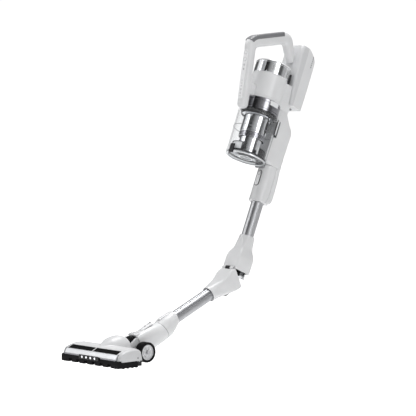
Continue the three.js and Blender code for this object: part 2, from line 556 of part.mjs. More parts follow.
function buildNeck(group) {
  const body = loft(
    { at: NECK.front, halfX: NECK.halfX, front: 28, back: -22, round: 15 },
    { at: -372, halfX: 25, front: 26.5, back: -33, round: 18 },
    { at: -335, halfX: 27.6, front: 23.5, back: -36.5, round: 24 },
    seamRing(WAND_END.seam - 2 * GAP),
  );
  const cheeks = [[-CHEEK.outer, -CHEEK.inner], [CHEEK.inner, CHEEK.outer]].map((span) =>
    join(rodX(CHEEK.radius, ...span, PIVOT.y, PIVOT.z),
      block(span, [PIVOT.y, NECK.front + 8], [PIVOT.z - CHEEK.radius, PIVOT.z + CHEEK.radius])));
  const axleHole = rodX(AXLE.radius + GAP, ...farX, PIVOT.y, PIVOT.z, PIN_STEPS);
  const latchPocket =
    stadium(LATCH.halfX + GAP, LATCH.near - GAP, LATCH.far + GAP, LATCH.pocket, 2 * LATCH.high);
  const wandSocket = bore(WAND_END.spigotEnd - GAP, WAND_END.seam + 25, WAND_END.spigotRadius + GAP);
  const mouth = rodY(NECK.mouth, NECK.front - 40, WAND_END.spigotEnd, 0, NECK.mouthRise);
  addPart(group, 'neck_body', cut(join(body, ...cheeks), wandSocket, mouth, axleHole, latchPocket), WHITE);
  addPart(group, 'neck_latch',
    stadium(LATCH.halfX, LATCH.near, LATCH.far, LATCH.low, LATCH.high), WHITE_TRIM);
}

// ---------------------------------------------------------------- flexible hoses

function buildKneeHose(group) {
  const bend = radians(UPPER_TILT - LOWER_TILT);
  const far = [-60 * Math.cos(bend), 60 * Math.sin(bend)];
  addPart(group, 'knee_hose', sweep(roundedPath([[62, 0], [0, 0], far], 34), roundBar(14)), RUBBER);
}

function buildBellows(group) {
  const inside = lowerToHead(NECK.front + 3, NECK.mouthRise);
  const path = roundedPath([[BELLOWS.start, BELLOWS.z], [(BELLOWS.start + inside.y) / 2, BELLOWS.z],
    [inside.y, inside.z]], 12, 3);
  addPart(group, 'neck_bellows', sweep(path, roundBar(BELLOWS.radius)), RUBBER);
}

// ---------------------------------------------------------------- floor head

function wheelTruck() {
  const plateTop = TRUCK.floorGap + TRUCK.plate;
  const disc = rodZ(14, TRUCK.floorGap, plateTop, 0, TRUCK.pinY);
  const bridge = block([-TRUCK.armOuter, TRUCK.armOuter], [TRUCK.pinY + 2, 116], [TRUCK.floorGap, plateTop]);
  const pin = rodZ(TRUCK.pinRadius, TRUCK.floorGap, 20, 0, TRUCK.pinY, PIN_STEPS);
  const arms = [[-TRUCK.armOuter, -TRUCK.armInner], [TRUCK.armInner, TRUCK.armOuter]].map((span) =>
    join(sideProfile([[104, TRUCK.floorGap], [150, TRUCK.floorGap], [156, 20], [146, 38], [136, 30],
      [128, 13], [104, 13]], ...span), rodX(11, ...span, AXLE.y, AXLE.z)));
  const axleHole = rodX(AXLE.radius + GAP, ...farX, AXLE.y, AXLE.z, PIN_STEPS);
  return cut(join(disc, bridge, pin, ...arms), axleHole);
}

function buildTruck(group) {
  addPart(group, 'wheel_truck', wheelTruck(), DARK_PLASTIC);
  addPart(group, 'wheel_axle', rodX(AXLE.radius, -AXLE.half, AXLE.half, AXLE.y, AXLE.z, PIN_STEPS), STEEL);
  [['left', 1], ['right', -1]].forEach(([side, sign]) => {
    const span = [sign * WHEEL.inner, sign * WHEEL.outer].sort((a, b) => a - b);
    const hubBore = rodX(AXLE.radius + GAP, ...farX, AXLE.y, AXLE.z, PIN_STEPS);
    const hubSpan = [span[0] + 1, span[1] - 1];
    const tyre = rodX(WHEEL.radius, ...span, AXLE.y, AXLE.z);
    const seat = rodX(WHEEL.hubRadius + GAP, ...farX, AXLE.y, AXLE.z);
    const hub = rodX(WHEEL.hubRadius, ...hubSpan, AXLE.y, AXLE.z);
    addPart(group, `hub_${side}`, cut(hub, hubBore), WHITE_TRIM);
    addPart(group, `tyre_${side}`, cut(tyre, seat), RUBBER);
  });
}

function headBase() {
  const halfPlate = SKIRT.inner - GAP;
  const plate = block([-halfPlate, halfPlate], [BUMPER.back + GAP, HEAD.length],
    [HEAD.sole, HEAD.baseTop - GAP]);
  const mouth = block([-MOUTH.half, MOUTH.half], [MOUTH.front, MOUTH.back], [0, 30]);
  const pockets = [-SOLE_ROLLER.x, SOLE_ROLLER.x].flatMap((x) => [
    block([x - SOLE_ROLLER.half - 1, x + SOLE_ROLLER.half + 1],
      [SOLE_ROLLER.y - SOLE_ROLLER.radius - 1, SOLE_ROLLER.y + SOLE_ROLLER.radius + 1], [0, 11]),
    block([x - SOLE_ROLLER.stubHalf - GAP, x + SOLE_ROLLER.stubHalf + GAP],
      [SOLE_ROLLER.y - SOLE_ROLLER.stub - GAP, SOLE_ROLLER.y + SOLE_ROLLER.stub + GAP],
      [0, SOLE_ROLLER.radius + SOLE_ROLLER.stub + GAP])]);
  const tongueLow = TRUCK.floorGap + TRUCK.plate + GAP;
  const tongueTop = HEAD.baseTop - GAP;
  const tongue = join(block([-12, 12], [HEAD.length - 6, TRUCK.pinY], [tongueLow, tongueTop]),
    rodZ(12, tongueLow, tongueTop, 0, TRUCK.pinY));
  const pinHole = rodZ(TRUCK.pinRadius + GAP, 0, 30, 0, TRUCK.pinY, PIN_STEPS);
  return cut(join(plate, tongue), mouth, pinHole, ...pockets);
}

// The window's side outline, grown all round by `grow`.
function windowOutline(grow) {
  const [[y0, z0], [y1, z1]] = [WINDOW.front, WINDOW.back];
  return [[y0 - grow, z0 + grow], [y1 + grow, z1 + grow + 1], [y1 + grow, z1 - WINDOW.depth - grow],
    [y0 + 1 - grow, z0 - WINDOW.depth - grow]];
}

function humpShell() {
  const bottom = 16.6;
  const hump = loft(
    { at: 36, halfX: 7, front: 46.2, back: 32, round: 6 },
    { at: 46, halfX: 20, front: 56, back: 30, round: 14 },
    { at: 60, halfX: 27, front: 64.5, back: bottom, round: 20 },
    { at: 80, halfX: 31, front: 70.5, back: bottom, frontRound: 24, backRound: 3 },
    { at: 96, halfX: 32, front: 71.5, back: bottom, frontRound: 25, backRound: 3 },
    { at: 106, halfX: 31, front: 69, back: bottom, frontRound: 24, backRound: 3 },
    { at: 112, halfX: 30, front: 65, back: bottom, frontRound: 22, backRound: 3 },
  );
  const clearAngle = loft(
    { at: 90, halfX: 21, front: 63.5, back: bottom - 9, round: 11 },
    { at: 122, halfX: 30.5, front: 65.5, back: bottom - 9, round: 11 },
  );
  const neckSweep = rodX(42, -26, 26, AXLE.y, AXLE.z);
  return { hump, hollow: join(clearAngle, neckSweep, rodY(14, 44, 92, 0, 40)) };
}

function headShell() {
  const half = HEAD.capInner - GAP;
  const outline = sideProfile([[HEAD.length, HEAD.baseTop], [HEAD.length, 34], [75, 43.5], [66, 48],
    [44, HEAD.height], [24, 45.4], [5.4, 37.9], [2.6, BUMPER.top + GAP], [7.4, BUMPER.top + GAP],
    [7.4, HEAD.baseTop]], -half, half);
  const inside = BRUSH.half + 5;
  const chamber = join(rodX(BRUSH.chamber, -inside, inside, BRUSH.y, BRUSH.z),
    block([-inside, inside], [BRUSH.y - BRUSH.chamber, BRUSH.y + BRUSH.chamber], [0, BRUSH.z]));
  const rearRoom = block([-inside, inside], [52, 77], [0, 40]);
  const beltSlot = block([BELT.start - 2, BELT.end + 2], [40, 60], [0, 36]);
  const trimRoom =
    sideProfile([[-5, BUMPER.top], [4.8, 37.9], [7.4, 36.2], [3.2, BUMPER.top]], ...farX);
  const windows = [-1, 1].flatMap((side) => {
    const span = [side * (WINDOW.inner - GAP), side * (WINDOW.outer + GAP)].sort((a, b) => a - b);
    const hole = [side * (WINDOW.inner + 2), side * (WINDOW.outer - 2)].sort((a, b) => a - b);
    return [sideProfile(windowOutline(GAP), ...span),
      sideProfile([[8, 37.5], [20, 43], [23, 37], [12, 30]], ...hole)];
  });
  const { hump, hollow } = humpShell();
  const body = cut(outline, chamber, rearRoom, beltSlot, trimRoom, ...windows);
  return cut(join(body, cut(hump, chamber)), hollow, rearRoom, ...windows);
}

function buildHeadCovers(group) {
  addPart(group, 'head_base', headBase(), DARK_PLASTIC);
  addPart(group, 'head_shell', headShell(), WHITE);
  [['left', 1], ['right', -1]].forEach(([side, sign]) => {
    const span = [sign * WINDOW.inner, sign * WINDOW.outer].sort((a, b) => a - b);
    const capSpan = [sign * HEAD.capInner, sign * HEAD.half].sort((a, b) => a - b);
    addPart(group, `roller_window_${side}`, sideProfile(windowOutline(0), ...span), SMOKED);
    addPart(group, `side_cap_${side}`, sideProfile([[BUMPER.back + GAP, SKIRT.top + GAP],
      [BUMPER.back + GAP, BUMPER.top + GAP], [0, BUMPER.top + GAP], [5.4, 38], [22, 44.8],
      [44, HEAD.height], [66, 47.8], [74, 43], [79, SKIRT.top + GAP]], ...capSpan), WHITE);
  });
  const [low, high] = TRIM_FRONT;
  addPart(group, 'trim_stripe', sideProfile([low, high, [high[0] + 2.4, high[1] - 1.2],
    [low[0] + 4, low[1]]], -HEAD.capInner + GAP, HEAD.capInner - GAP), CHROME);
}

function frontBumper() {
  const bar = block(farX, [BUMPER.front, BUMPER.back], [BUMPER.toothTop, BUMPER.top]);
  const sides = [[-HEAD.half, -SKIRT.inner], [SKIRT.inner, HEAD.half]].map((span) =>
    block(span, [BUMPER.back - 1, SKIRT.back], [BUMPER.toothBottom, SKIRT.top]));
  const corners = [[-HEAD.half, -SKIRT.inner + 6], [SKIRT.inner - 6, HEAD.half]].map((span) =>
    block(span, [BUMPER.front, BUMPER.back], [BUMPER.toothBottom, BUMPER.toothTop + 1]));
  const pitch = (2 * SKIRT.inner) / BUMPER.teeth;
  const teeth = Array.from({ length: BUMPER.teeth }, (_, i) => {
    const middle = (i + 0.5) * pitch - SKIRT.inner;
    return block([middle - BUMPER.toothWidth / 2, middle + BUMPER.toothWidth / 2],
      [BUMPER.front, BUMPER.back], [BUMPER.toothBottom, BUMPER.toothTop + 1]);
  });
  return join(bar, ...sides, ...corners, ...teeth);
}

function headlightBar() {
  const back = BUMPER.front - GAP;
  const strip = block([-LIGHTS.half, LIGHTS.half], [back - LIGHTS.depth, back], [LIGHTS.bottom, LIGHTS.top]);
  const middle = (LIGHTS.bottom + LIGHTS.top) / 2;
  const lenses = Array.from({ length: LIGHTS.count }, (_, i) => {
    const x = (i - (LIGHTS.count - 1) / 2) * LIGHTS.spacing;
    const dome = new THREE.SphereGeometry(LIGHTS.lens, 12, 8);
    return solid(dome.translate(x, back - LIGHTS.depth, middle));
  });
  return join(strip, ...lenses);
}

// Four twisted rows of bristles standing on a thin sleeve.
function bristleSleeve() {
  const [points, rows, turns, rings] = [24, 4, 0.5, 14];
  const length = BELT.start - 2 + BRUSH.half;
  const sections = Array.from({ length: rings + 1 }, (_, i) => {
    const along = i / rings;
    return Array.from({ length: points }, (_, k) => {
      const angle = (k / points + along * turns) * 2 * Math.PI;
      const crest = k % (points / rows) === 0;
      const radius = crest ? BRUSH.tip : BRUSH.coreRadius + 1.5;
      const [across, up] = [radius * Math.sin(angle), radius * Math.cos(angle)];
      return new THREE.Vector3(across, along * length - BRUSH.half, up);
    });
  });
  const twisted = new LoftGeometry(sections, { capStart: true, capEnd: true });
  twisted.rotateZ(-Math.PI / 2).translate(0, BRUSH.y, BRUSH.z);
  return cut(solid(twisted), rodX(BRUSH.coreRadius + GAP, ...farX, BRUSH.y, BRUSH.z));
}

// The outline around two circles, as (y, z) points.
function beltOutline(first, second) {
  const direction = new THREE.Vector2(second.y - first.y, second.z - first.z);
  const spread = Math.acos((first.radius - second.radius) / direction.length());
  const heading = direction.angle();
  const arc = (circle, from, to) => Array.from({ length: 9 }, (_, i) => {
    const angle = from + (to - from) * i / 8;
    return [circle.y + circle.radius * Math.cos(angle), circle.z + circle.radius * Math.sin(angle)];
  });
  return [...arc(first, heading + spread, heading + 2 * Math.PI - spread),
    ...arc(second, heading - spread, heading + spread)];
}

function driveBelt() {
  const around = (grow) => sideProfile(beltOutline(
    { y: BRUSH.y, z: BRUSH.z, radius: BRUSH.pulleyRadius + grow },
    { y: BRUSH_MOTOR.y, z: BRUSH_MOTOR.z, radius: BRUSH_MOTOR.pulleyRadius + grow },
  ), BELT.start + GAP - grow / 9, BELT.end - GAP + grow / 9);
  const inner = sideProfile(beltOutline(
    { y: BRUSH.y, z: BRUSH.z, radius: BRUSH.pulleyRadius + GAP },
    { y: BRUSH_MOTOR.y, z: BRUSH_MOTOR.z, radius: BRUSH_MOTOR.pulleyRadius + GAP },
  ), BELT.start - 1, BELT.end + 1);
  return cut(around(GAP + BELT.thickness), inner);
}

function buildBrushDrive(group) {
  const core = join(rodX(BRUSH.coreRadius, -BRUSH.half, BELT.start - GAP, BRUSH.y, BRUSH.z),
    rodX(BRUSH.pulleyRadius, BELT.start - 1, BRUSH.half, BRUSH.y, BRUSH.z),
    rodX(4, -BRUSH.half - 4, BRUSH.half + 4, BRUSH.y, BRUSH.z, PIN_STEPS));
  addPart(group, 'brush_core', core, DARK_PLASTIC);
  addPart(group, 'brush_bristles', bristleSleeve(), BRISTLE);
  addPart(group, 'brush_motor', rodX(BRUSH_MOTOR.radius, BRUSH_MOTOR.start, BRUSH_MOTOR.end, BRUSH_MOTOR.y,
    BRUSH_MOTOR.z), STEEL);
  const { y, z, end, pulleyRadius, shaftRadius } = BRUSH_MOTOR;
  const pulley = rodX(pulleyRadius, BELT.start - GAP, BELT.end, y, z, PIN_STEPS);
  const shaft = rodX(shaftRadius, end + GAP, BELT.start, y, z, PIN_STEPS);
  addPart(group, 'motor_pulley', join(pulley, shaft), DARK_PLASTIC);
  addPart(group, 'drive_belt', driveBelt(), RUBBER);
}

function buildSoleRollers(group) {
  [['left', 1], ['right', -1]].forEach(([side, sign]) => {
    const x = sign * SOLE_ROLLER.x;
    const at = [SOLE_ROLLER.y, SOLE_ROLLER.radius];
    addPart(group, `sole_roller_${side}`, join(
      rodX(SOLE_ROLLER.radius, x - SOLE_ROLLER.half, x + SOLE_ROLLER.half, ...at, PIN_STEPS),
      rodX(SOLE_ROLLER.stub, x - SOLE_ROLLER.stubHalf, x + SOLE_ROLLER.stubHalf, ...at, 8)), SOFT_GREY);
  });
}

// ---------------------------------------------------------------- assembly

const vacuum = new THREE.Group();
const upper = nestedGroup(vacuum, KNEE_POINT.y, KNEE_POINT.z, UPPER_TILT);
const lower = nestedGroup(vacuum, KNEE_POINT.y, KNEE_POINT.z, LOWER_TILT);
const head = nestedGroup(vacuum, 0, 0, 0);

buildAirPath(upper);
buildFilterCap(upper);
buildBattery(upper);
buildBin(upper);
buildBinLever(upper);
buildHandle(upper);
buildConnector(upper);
const outerKnuckles = buildUpperWand(upper);
buildKneeHose(upper);
buildLowerWand(lower, outerKnuckles);
buildNeck(lower);
buildBellows(head);
buildTruck(head);
buildHeadCovers(head);
addPart(head, 'front_bumper', frontBumper(), RUBBER);
addPart(head, 'headlight_bar', headlightBar(), WHITE_TRIM);
buildBrushDrive(head);
buildSoleRollers(head);

// The origin is on the floor, under the middle of the whole object.
const extent = new THREE.Box3().setFromObject(vacuum, true);
const middle = extent.getCenter(new THREE.Vector3());
vacuum.position.set(0, -middle.y, -extent.min.z);
vacuum.updateMatrixWorld(true);

export default vacuum;
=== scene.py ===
"""Looks for the cordless stick vacuum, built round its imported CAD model.

Pieces are drawn in local frames, in millimetres. In the upper and the lower frame x is sideways,
y runs up the wand from the knee and z points out of its front. In the head frame y runs back from
the head's front edge and z is up from the floor. Each frame's matrix turns them into metres.
"""
import json
import math

import bmesh
import bpy
from mathutils import Matrix, Vector


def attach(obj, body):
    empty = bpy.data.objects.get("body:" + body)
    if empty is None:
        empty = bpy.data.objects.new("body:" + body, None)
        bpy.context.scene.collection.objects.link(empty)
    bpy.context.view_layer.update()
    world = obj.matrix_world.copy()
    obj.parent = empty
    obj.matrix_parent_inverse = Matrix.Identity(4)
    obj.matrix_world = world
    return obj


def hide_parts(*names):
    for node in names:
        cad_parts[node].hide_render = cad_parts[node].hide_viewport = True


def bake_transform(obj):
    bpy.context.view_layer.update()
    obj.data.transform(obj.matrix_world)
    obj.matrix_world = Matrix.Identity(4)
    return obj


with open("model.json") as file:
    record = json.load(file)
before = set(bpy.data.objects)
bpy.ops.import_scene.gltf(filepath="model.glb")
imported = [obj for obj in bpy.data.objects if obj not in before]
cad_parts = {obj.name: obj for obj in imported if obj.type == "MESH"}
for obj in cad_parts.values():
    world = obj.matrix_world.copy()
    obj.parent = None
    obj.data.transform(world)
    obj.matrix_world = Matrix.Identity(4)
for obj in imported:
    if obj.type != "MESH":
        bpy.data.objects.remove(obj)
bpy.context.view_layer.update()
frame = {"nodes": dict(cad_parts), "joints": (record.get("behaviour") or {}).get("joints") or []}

# ---------------------------------------------------------------- driving dimensions, millimetres

MM = 0.001
# Steps round a turned shape, a loft's corner, a hose, the end of a plate and an arc.
ROUND = 96
CORNER = 8
HOSE_SIDES = 40
ROUND_END = 12
ARC_STEPS = 24
# How far the knee's pin is from the point where the wand's two axes cross.
HINGE_REACH = 35.7
AXLE = {"y": 146, "z": 27, "radius": 4}
# The cyclone's axis stands this far in front of the wand's; heights up it run from the knee.
CYCLONE = 93
TUBE = {"radius": 17.5, "bore_share": 0.86, "top": 292, "bottom": 80, "groove": 1.8,
        "groove_at": (25, 63)}
CONNECTOR = {"bottom": 220, "top": 327.7, "half": 25.6, "rib": 1.5}
BIN = {"bottom": 323.3, "top": 449, "low": 57, "high": 59, "wall": 2.5, "mouth": 50}
LID = {"bottom": 317, "radius": 56.8}
BAND = {"radius": 53, "bottom": 449.3, "top": 487.7}
SHROUD = {"radius": 38, "bottom": 374}
MOTOR = {"radius": 50.5, "top": 563.7}
EXHAUST = {"radius": 50.5, "bottom": 564, "top": 598}
VENTS = ((45, 70), (-70, -45), (108, 135), (-135, -108))
CAP = {"bottom": 598.3, "height": 6}
CATCH_TAB = {"start": 72, "end": 104, "low": 473, "high": 486}
BATTERY = {"bottom": 512, "half": 37, "split": 12, "lamps": 640, "lamp_pitch": 6, "lamp_count": 6}
HANDLE = {"half": 14, "depth": 13.5, "round": 10, "corner": 22, "crown": 8.5, "ramp": 30}
GRIP = {"depth": 13, "proud": 0.4, "start": 3, "end": 18}
HANDLE_PATH = ((452, 161.5), (622, 199), (691, 77), (640, 33))
PANEL = {"half": 8.5, "start": 14, "end": 154, "low": 11.1, "high": 14.8}
BUTTONS = {"power": 146, "mode": 126}
KNEE = {"face": 13.64, "hinge_y": 13.14, "hinge_z": 33.19, "knuckle": 6, "relief": 6.7, "half": 9,
        "outer": 22}
SEAM = {"radius": 27.8, "drop": 8.75, "tilt": 9, "y": -305}
WHEEL = {"radius": 27, "hub": 20.7, "inner": 36, "outer": 60}
HEAD_SIZE = {"half": 118, "inner": 105.7}
END_BODIES = ((1, "left", "head"), (-1, "right", "side_cap_right"))
WINDOW = {"front": (5.8, 37.6), "back": (21.5, 45.2), "depth": 2.2, "inner": 2, "outer": 101}
STRIPE = {"low": (-3.1, 22.3), "middle": (-0.2, 31), "high": (4.6, 37.4)}
BRUSH_ROOM = (-103, 103)
TEETH = {"count": 7, "pitch": 32, "half": 10}
BRUSH = {"y": 28, "z": 20.5, "core": 12, "tip": 18.8, "half": 98, "end": 90, "rows": 4}
LIGHTS = {"half": 41, "pitch": 17.3, "count": 4, "low": 16, "high": 27, "front": -7.3}

# Camera and surroundings, in metres and degrees.
CAMERA = {"azimuth": 47.5, "elevation": 2.8, "distance": 4.8, "lens_pixels": 1745.45, "frame_pixels": 416}
AIM_HEIGHT = 0.39681
AIM_BEHIND_KNEE = -0.0781
FLOOR_DROP = 0.46
FLOOR_HALF = 40
FLOOR_GLOW = {"lighting": 0.3, "seen": 0.9}
BACKDROP = 1.05
SWEEP_STRENGTH = 0.52
BANDS_STRENGTH = 0.8
# Each area light's place, size and power.
STUDIO_LIGHTS = {"key": ((-2.2, -3.0, 2.6), (1.6, 1.6), 22), "fill": ((3.6, -0.2, 1.4), (1.4, 2.2), 34),
                 "top": ((-0.4, 0.5, 3.4), (1.8, 1.8), 105)}

# ---------------------------------------------------------------- local frames

JOINTS = {joint["name"]: joint for joint in frame["joints"]}
SIDEWAYS = Vector((1, 0, 0))


def local_frame(origin, along):
    """A frame in millimetres with Y along a direction and Z out of its front."""
    y = Vector(along).normalized()
    turn = Matrix((SIDEWAYS, y, SIDEWAYS.cross(y))).transposed().to_4x4()
    return Matrix.Translation(origin) @ turn @ Matrix.Scale(MM, 4)


def knee_point():
    """Where the axes of the two wand halves cross."""
    along = -Vector(JOINTS["upper_wand_pull"]["axis"])
    half_bend = along.angle(-Vector(JOINTS["neck_pull"]["axis"])) / 2
    reach = along * math.sin(half_bend) + SIDEWAYS.cross(along) * math.cos(half_bend)
    return Vector(JOINTS["knee"]["pos_m"]) - reach * HINGE_REACH * MM


UPPER = local_frame(knee_point(), -Vector(JOINTS["upper_wand_pull"]["axis"]))
LOWER = local_frame(knee_point(), -Vector(JOINTS["neck_pull"]["axis"]))
AXLE_PLACE = Vector(JOINTS["neck_pitch"]["pos_m"])
HEAD = Matrix.Translation((0, AXLE_PLACE.y - AXLE["y"] * MM, 0)) @ Matrix.Scale(MM, 4)

# ---------------------------------------------------------------- shapes: (points, faces) in one frame


def skin(rings, closed=False):
    """Faces between rings of points, with flat ends unless the rings close on themselves."""
    size = len(rings[0])
    last = len(rings) - 1
    faces = []
    for i in range(len(rings) if closed else last):
        low, high = i * size, (i + 1) % len(rings) * size
        for k in range(size):
            after = (k + 1) % size
            faces.append((low + k, low + after, high + after, high + k))
    if not closed:
        faces.append(tuple(reversed(range(size))))
        faces.append(tuple(range(last * size, (last + 1) * size)))
    return [point for ring in rings for point in ring], faces


def joined(*shapes):
    points, faces = [], []
    for some_points, some_faces in shapes:
        offset = len(points)
        points += some_points
        faces += [tuple(i + offset for i in face) for face in some_faces]
    return points, faces


def moved(shape, matrix):
    points, faces = shape
    return [tuple(matrix @ Vector(point)) for point in points], faces


def mirrored(shape):
    points, faces = shape
    return [(-x, y, z) for x, y, z in points], [tuple(reversed(face)) for face in faces]


def on_side(shape, side):
    """A shape drawn for the +X side, or its mirror image."""
    return shape if side > 0 else mirrored(shape)


def lathe(profile, centre=CYCLONE, steps=ROUND):
    """A turned shape about the line x = 0, z = centre, from a closed profile of (radius, y)."""
    turns = [2 * math.pi * i / steps for i in range(steps)]
    rings = [[(radius * math.sin(a), y, centre + radius * math.cos(a)) for a in turns]
             for radius, y in profile]
    return skin(rings, closed=True)


def pipe(outer, inner, low, high, centre=CYCLONE, steps=ROUND):
    return lathe([(inner, low), (outer, low), (outer, high), (inner, high)], centre, steps)


def rod(radius, low, high, centre=CYCLONE, steps=ROUND):
    return lathe([(0.01, low), (radius, low), (radius, high), (0.01, high)], centre, steps)


def across(shape, y, z):
    """Turns a shape made about the Y axis onto the X axis through (y, z)."""
    points, faces = shape
    return [(py, y - px, z + pz) for px, py, pz in points], faces


def on_axle(shape, side=1):
    """Turns a shape made about the Y axis onto the wheels' axle."""
    return on_side(across(shape, AXLE["y"], AXLE["z"]), side)


def station(at, half, front, back, front_round=None, back_round=None, tilt=0):
    """One cross-section of a loft: its place, half width, faces, corner radii and tilt."""
    return at, half, front, back, front_round or half, back_round or half, tilt


def section(at, half, front, back, front_round, back_round, tilt=0, notch=0):
    """A rectangle with round corners across Y. A notch makes a fine groove along each side."""
    most = min(half, (front - back) / 2) - 0.1
    radii = [min(front_round, most), min(back_round, most)]
    corners = ((1, 0, front, radii[0]), (1, 1, back, radii[1]), (-1, 2, back, radii[1]),
               (-1, 3, front, radii[0]))
    middle = (front + back) / 2
    ring = []
    for side, quarter, edge, radius in corners:
        x0 = side * (half - radius)
        z0 = edge - radius if edge == front else edge + radius
        for step in range(CORNER + 1):
            angle = (quarter + step / CORNER) * math.pi / 2
            ring.append((x0 + radius * math.sin(angle), z0 + radius * math.cos(angle)))
        if quarter in (0, 2) and notch:
            seam = (front - radii[0] + back + radii[1]) / 2
            rows = [(side * half, seam + 1), (side * (half - notch), seam), (side * half, seam - 1)]
            ring += rows if quarter == 0 else rows[::-1]
    slope = math.radians(tilt)
    return [(x, at - (z - middle) * math.sin(slope), middle + (z - middle) * math.cos(slope))
            for x, z in ring]


def smooth_rings(stations, between=5, notch=0):
    """Rings through the given stations, with every size carried along a smooth curve."""
    padded = [stations[0], *stations, stations[-1]]
    rings = []
    for a, b, c, d in zip(padded, padded[1:], padded[2:], padded[3:]):
        for step in range(between):
            t = step / between
            values = [q + t * (r - p + t * (2 * p - 5 * q + 4 * r - s + t * (3 * (q - r) + s - p))) / 2
                      for p, q, r, s in zip(a, b, c, d)]
            rings.append(section(*values, notch=notch))
    rings.append(section(*stations[-1], notch=notch))
    return rings


def loft(*stations, between=5, notch=0):
    return skin(smooth_rings(stations, between, notch))


def slab(outline, x0, x1):
    """An outline of (y, z) points carried along X."""
    return skin([[(x, y, z) for y, z in outline] for x in (x0, x1)])


def side_slab(outline, inner, outer, side):
    """A slab from inner to outer along X, on one side of the middle."""
    return slab(outline, *sorted((side * inner, side * outer)))


def box(xs, ys, zs):
    return slab([(ys[0], zs[0]), (ys[1], zs[0]), (ys[1], zs[1]), (ys[0], zs[1])], *xs)


def moved_to(shape, along):
    """Stands a shape made about the Y axis up along Z, at a distance along Y."""
    points, faces = shape
    return [(x, along - z, y) for x, y, z in points], faces


def stadium(half, y0, y1, z0, z1):
    """A round-ended plate in the x-y plane."""
    turn = [math.pi * i / ROUND_END for i in range(ROUND_END + 1)]
    outline = [(half * math.cos(a), y1 - half + half * math.sin(a)) for a in turn]
    outline += [(-half * math.cos(a), y0 + half - half * math.sin(a)) for a in turn]
    return skin([[(x, y, z) for x, y in outline] for z in (z0, z1)])


def rounded_path(points, radius, steps=10):
    """A path in the y-z plane with its corners rounded: (place, direction) pairs."""
    at = [Vector((0, y, z)) for y, z in points]
    path = [(at[0], (at[1] - at[0]).normalized())]
    for before, corner, after in zip(at, at[1:], at[2:]):
        start = corner + (before - corner).normalized() * radius
        end = corner + (after - corner).normalized() * radius
        for step in range(steps + 1):
            t = step / steps
            place = start * (1 - t) ** 2 + corner * (2 * t * (1 - t)) + end * t ** 2
            path.append((place, ((corner - start) * (1 - t) + (end - corner) * t).normalized()))
    path.append((at[-1], (at[-1] - at[-2]).normalized()))
    return path


def arc_plate(inner, outer, low, high, start, end):
    """A plate curved about the cyclone's axis, between two angles from the front."""
    rings = []
    for i in range(ARC_STEPS + 1):
        a = math.radians(start + (end - start) * i / ARC_STEPS)
        rings.append([(r * math.sin(a), y, CYCLONE + r * math.cos(a))
                      for r, y in ((inner, low), (outer, low), (outer, high), (inner, high))])
    return skin(rings)


def ripple(crest, trough, ridges):
    """The wavy profile of a ribbed hose, as radii along a path."""
    return [trough + (crest - trough) * (1 - math.cos(2 * math.pi * ridges * t)) / 2
            for t in (i / (ridges * 6) for i in range(ridges * 6 + 1))]


# ---------------------------------------------------------------- materials

BUMP_SCALE = 0.00012
# How quickly clear plastic turns shiny towards its edges, and how shiny it gets there.
EDGE_POWER = 4.0
EDGE_SHINE = 0.4


def node(tree, kind, **values):
    made = tree.nodes.new(kind)
    for key, value in values.items():
        if key in made.inputs:
            made.inputs[key].default_value = value
        else:
            setattr(made, key, value)
    return made


def wire(output, entry):
    output.id_data.links.new(output, entry)


def set_inputs(shader, **values):
    for key, value in values.items():
        shader.inputs[key.replace("_", " ")].default_value = value


def local_place(tree, matrix):
    """Object coordinates seen in a local frame, still in metres."""
    inverse = matrix.to_3x3().normalized().transposed()
    place = node(tree, "ShaderNodeTexCoord")
    mapping = node(tree, "ShaderNodeMapping")
    mapping.inputs["Rotation"].default_value = inverse.to_euler()
    mapping.inputs["Location"].default_value = -(inverse @ matrix.translation)
    wire(place.outputs["Object"], mapping.inputs["Vector"])
    return mapping.outputs["Vector"]


def blank(name):
    material = bpy.data.materials.new(name)
    material.use_nodes = True
    tree = material.node_tree
    return material, tree, tree.nodes["Principled BSDF"]


def tinted(tree, shader, vector, color, spread, scale):
    """A base colour that drifts a little between two tones."""
    drift = node(tree, "ShaderNodeTexNoise", Scale=scale, Detail=3.0, Roughness=0.55)
    ramp = node(tree, "ShaderNodeValToRGB")
    ramp.color_ramp.elements[0].position = 0.35
    ramp.color_ramp.elements[1].position = 0.65
    for element, factor in zip(ramp.color_ramp.elements, (1 - spread, 1 + spread)):
        element.color = tuple(min(1, part * factor) for part in color) + (1,)
    wire(vector, drift.inputs["Vector"])
    wire(drift.outputs["Fac"], ramp.inputs["Fac"])
    wire(ramp.outputs["Color"], shader.inputs["Base Color"])
    return drift.outputs["Fac"]


def roughened(tree, shader, factor, low, high):
    spread = node(tree, "ShaderNodeMapRange")
    spread.inputs["To Min"].default_value = low
    spread.inputs["To Max"].default_value = high
    wire(factor, spread.inputs["Value"])
    wire(spread.outputs["Result"], shader.inputs["Roughness"])


def bumped(tree, shader, height, strength, distance=BUMP_SCALE):
    bump = node(tree, "ShaderNodeBump", Strength=strength, Distance=distance)
    wire(height, bump.inputs["Height"])
    wire(bump.outputs["Normal"], shader.inputs["Normal"])


def moulded(name, color, rough, grain=900, strength=0.25, spread=0.025, coat=0.0, shine=0.5):
    """A moulded surface: drifting tone, uneven gloss and a fine grain."""
    material, tree, shader = blank(name)
    vector = node(tree, "ShaderNodeTexCoord").outputs["Object"]
    drift = tinted(tree, shader, vector, color, spread, 14)
    roughened(tree, shader, drift, rough * 0.85, rough * 1.15)
    fine = node(tree, "ShaderNodeTexNoise", Scale=grain, Detail=2.0)
    wire(vector, fine.inputs["Vector"])
    bumped(tree, shader, fine.outputs["Fac"], strength)
    set_inputs(shader, Coat_Weight=coat, Coat_Roughness=0.08, Specular_IOR_Level=shine)
    return material


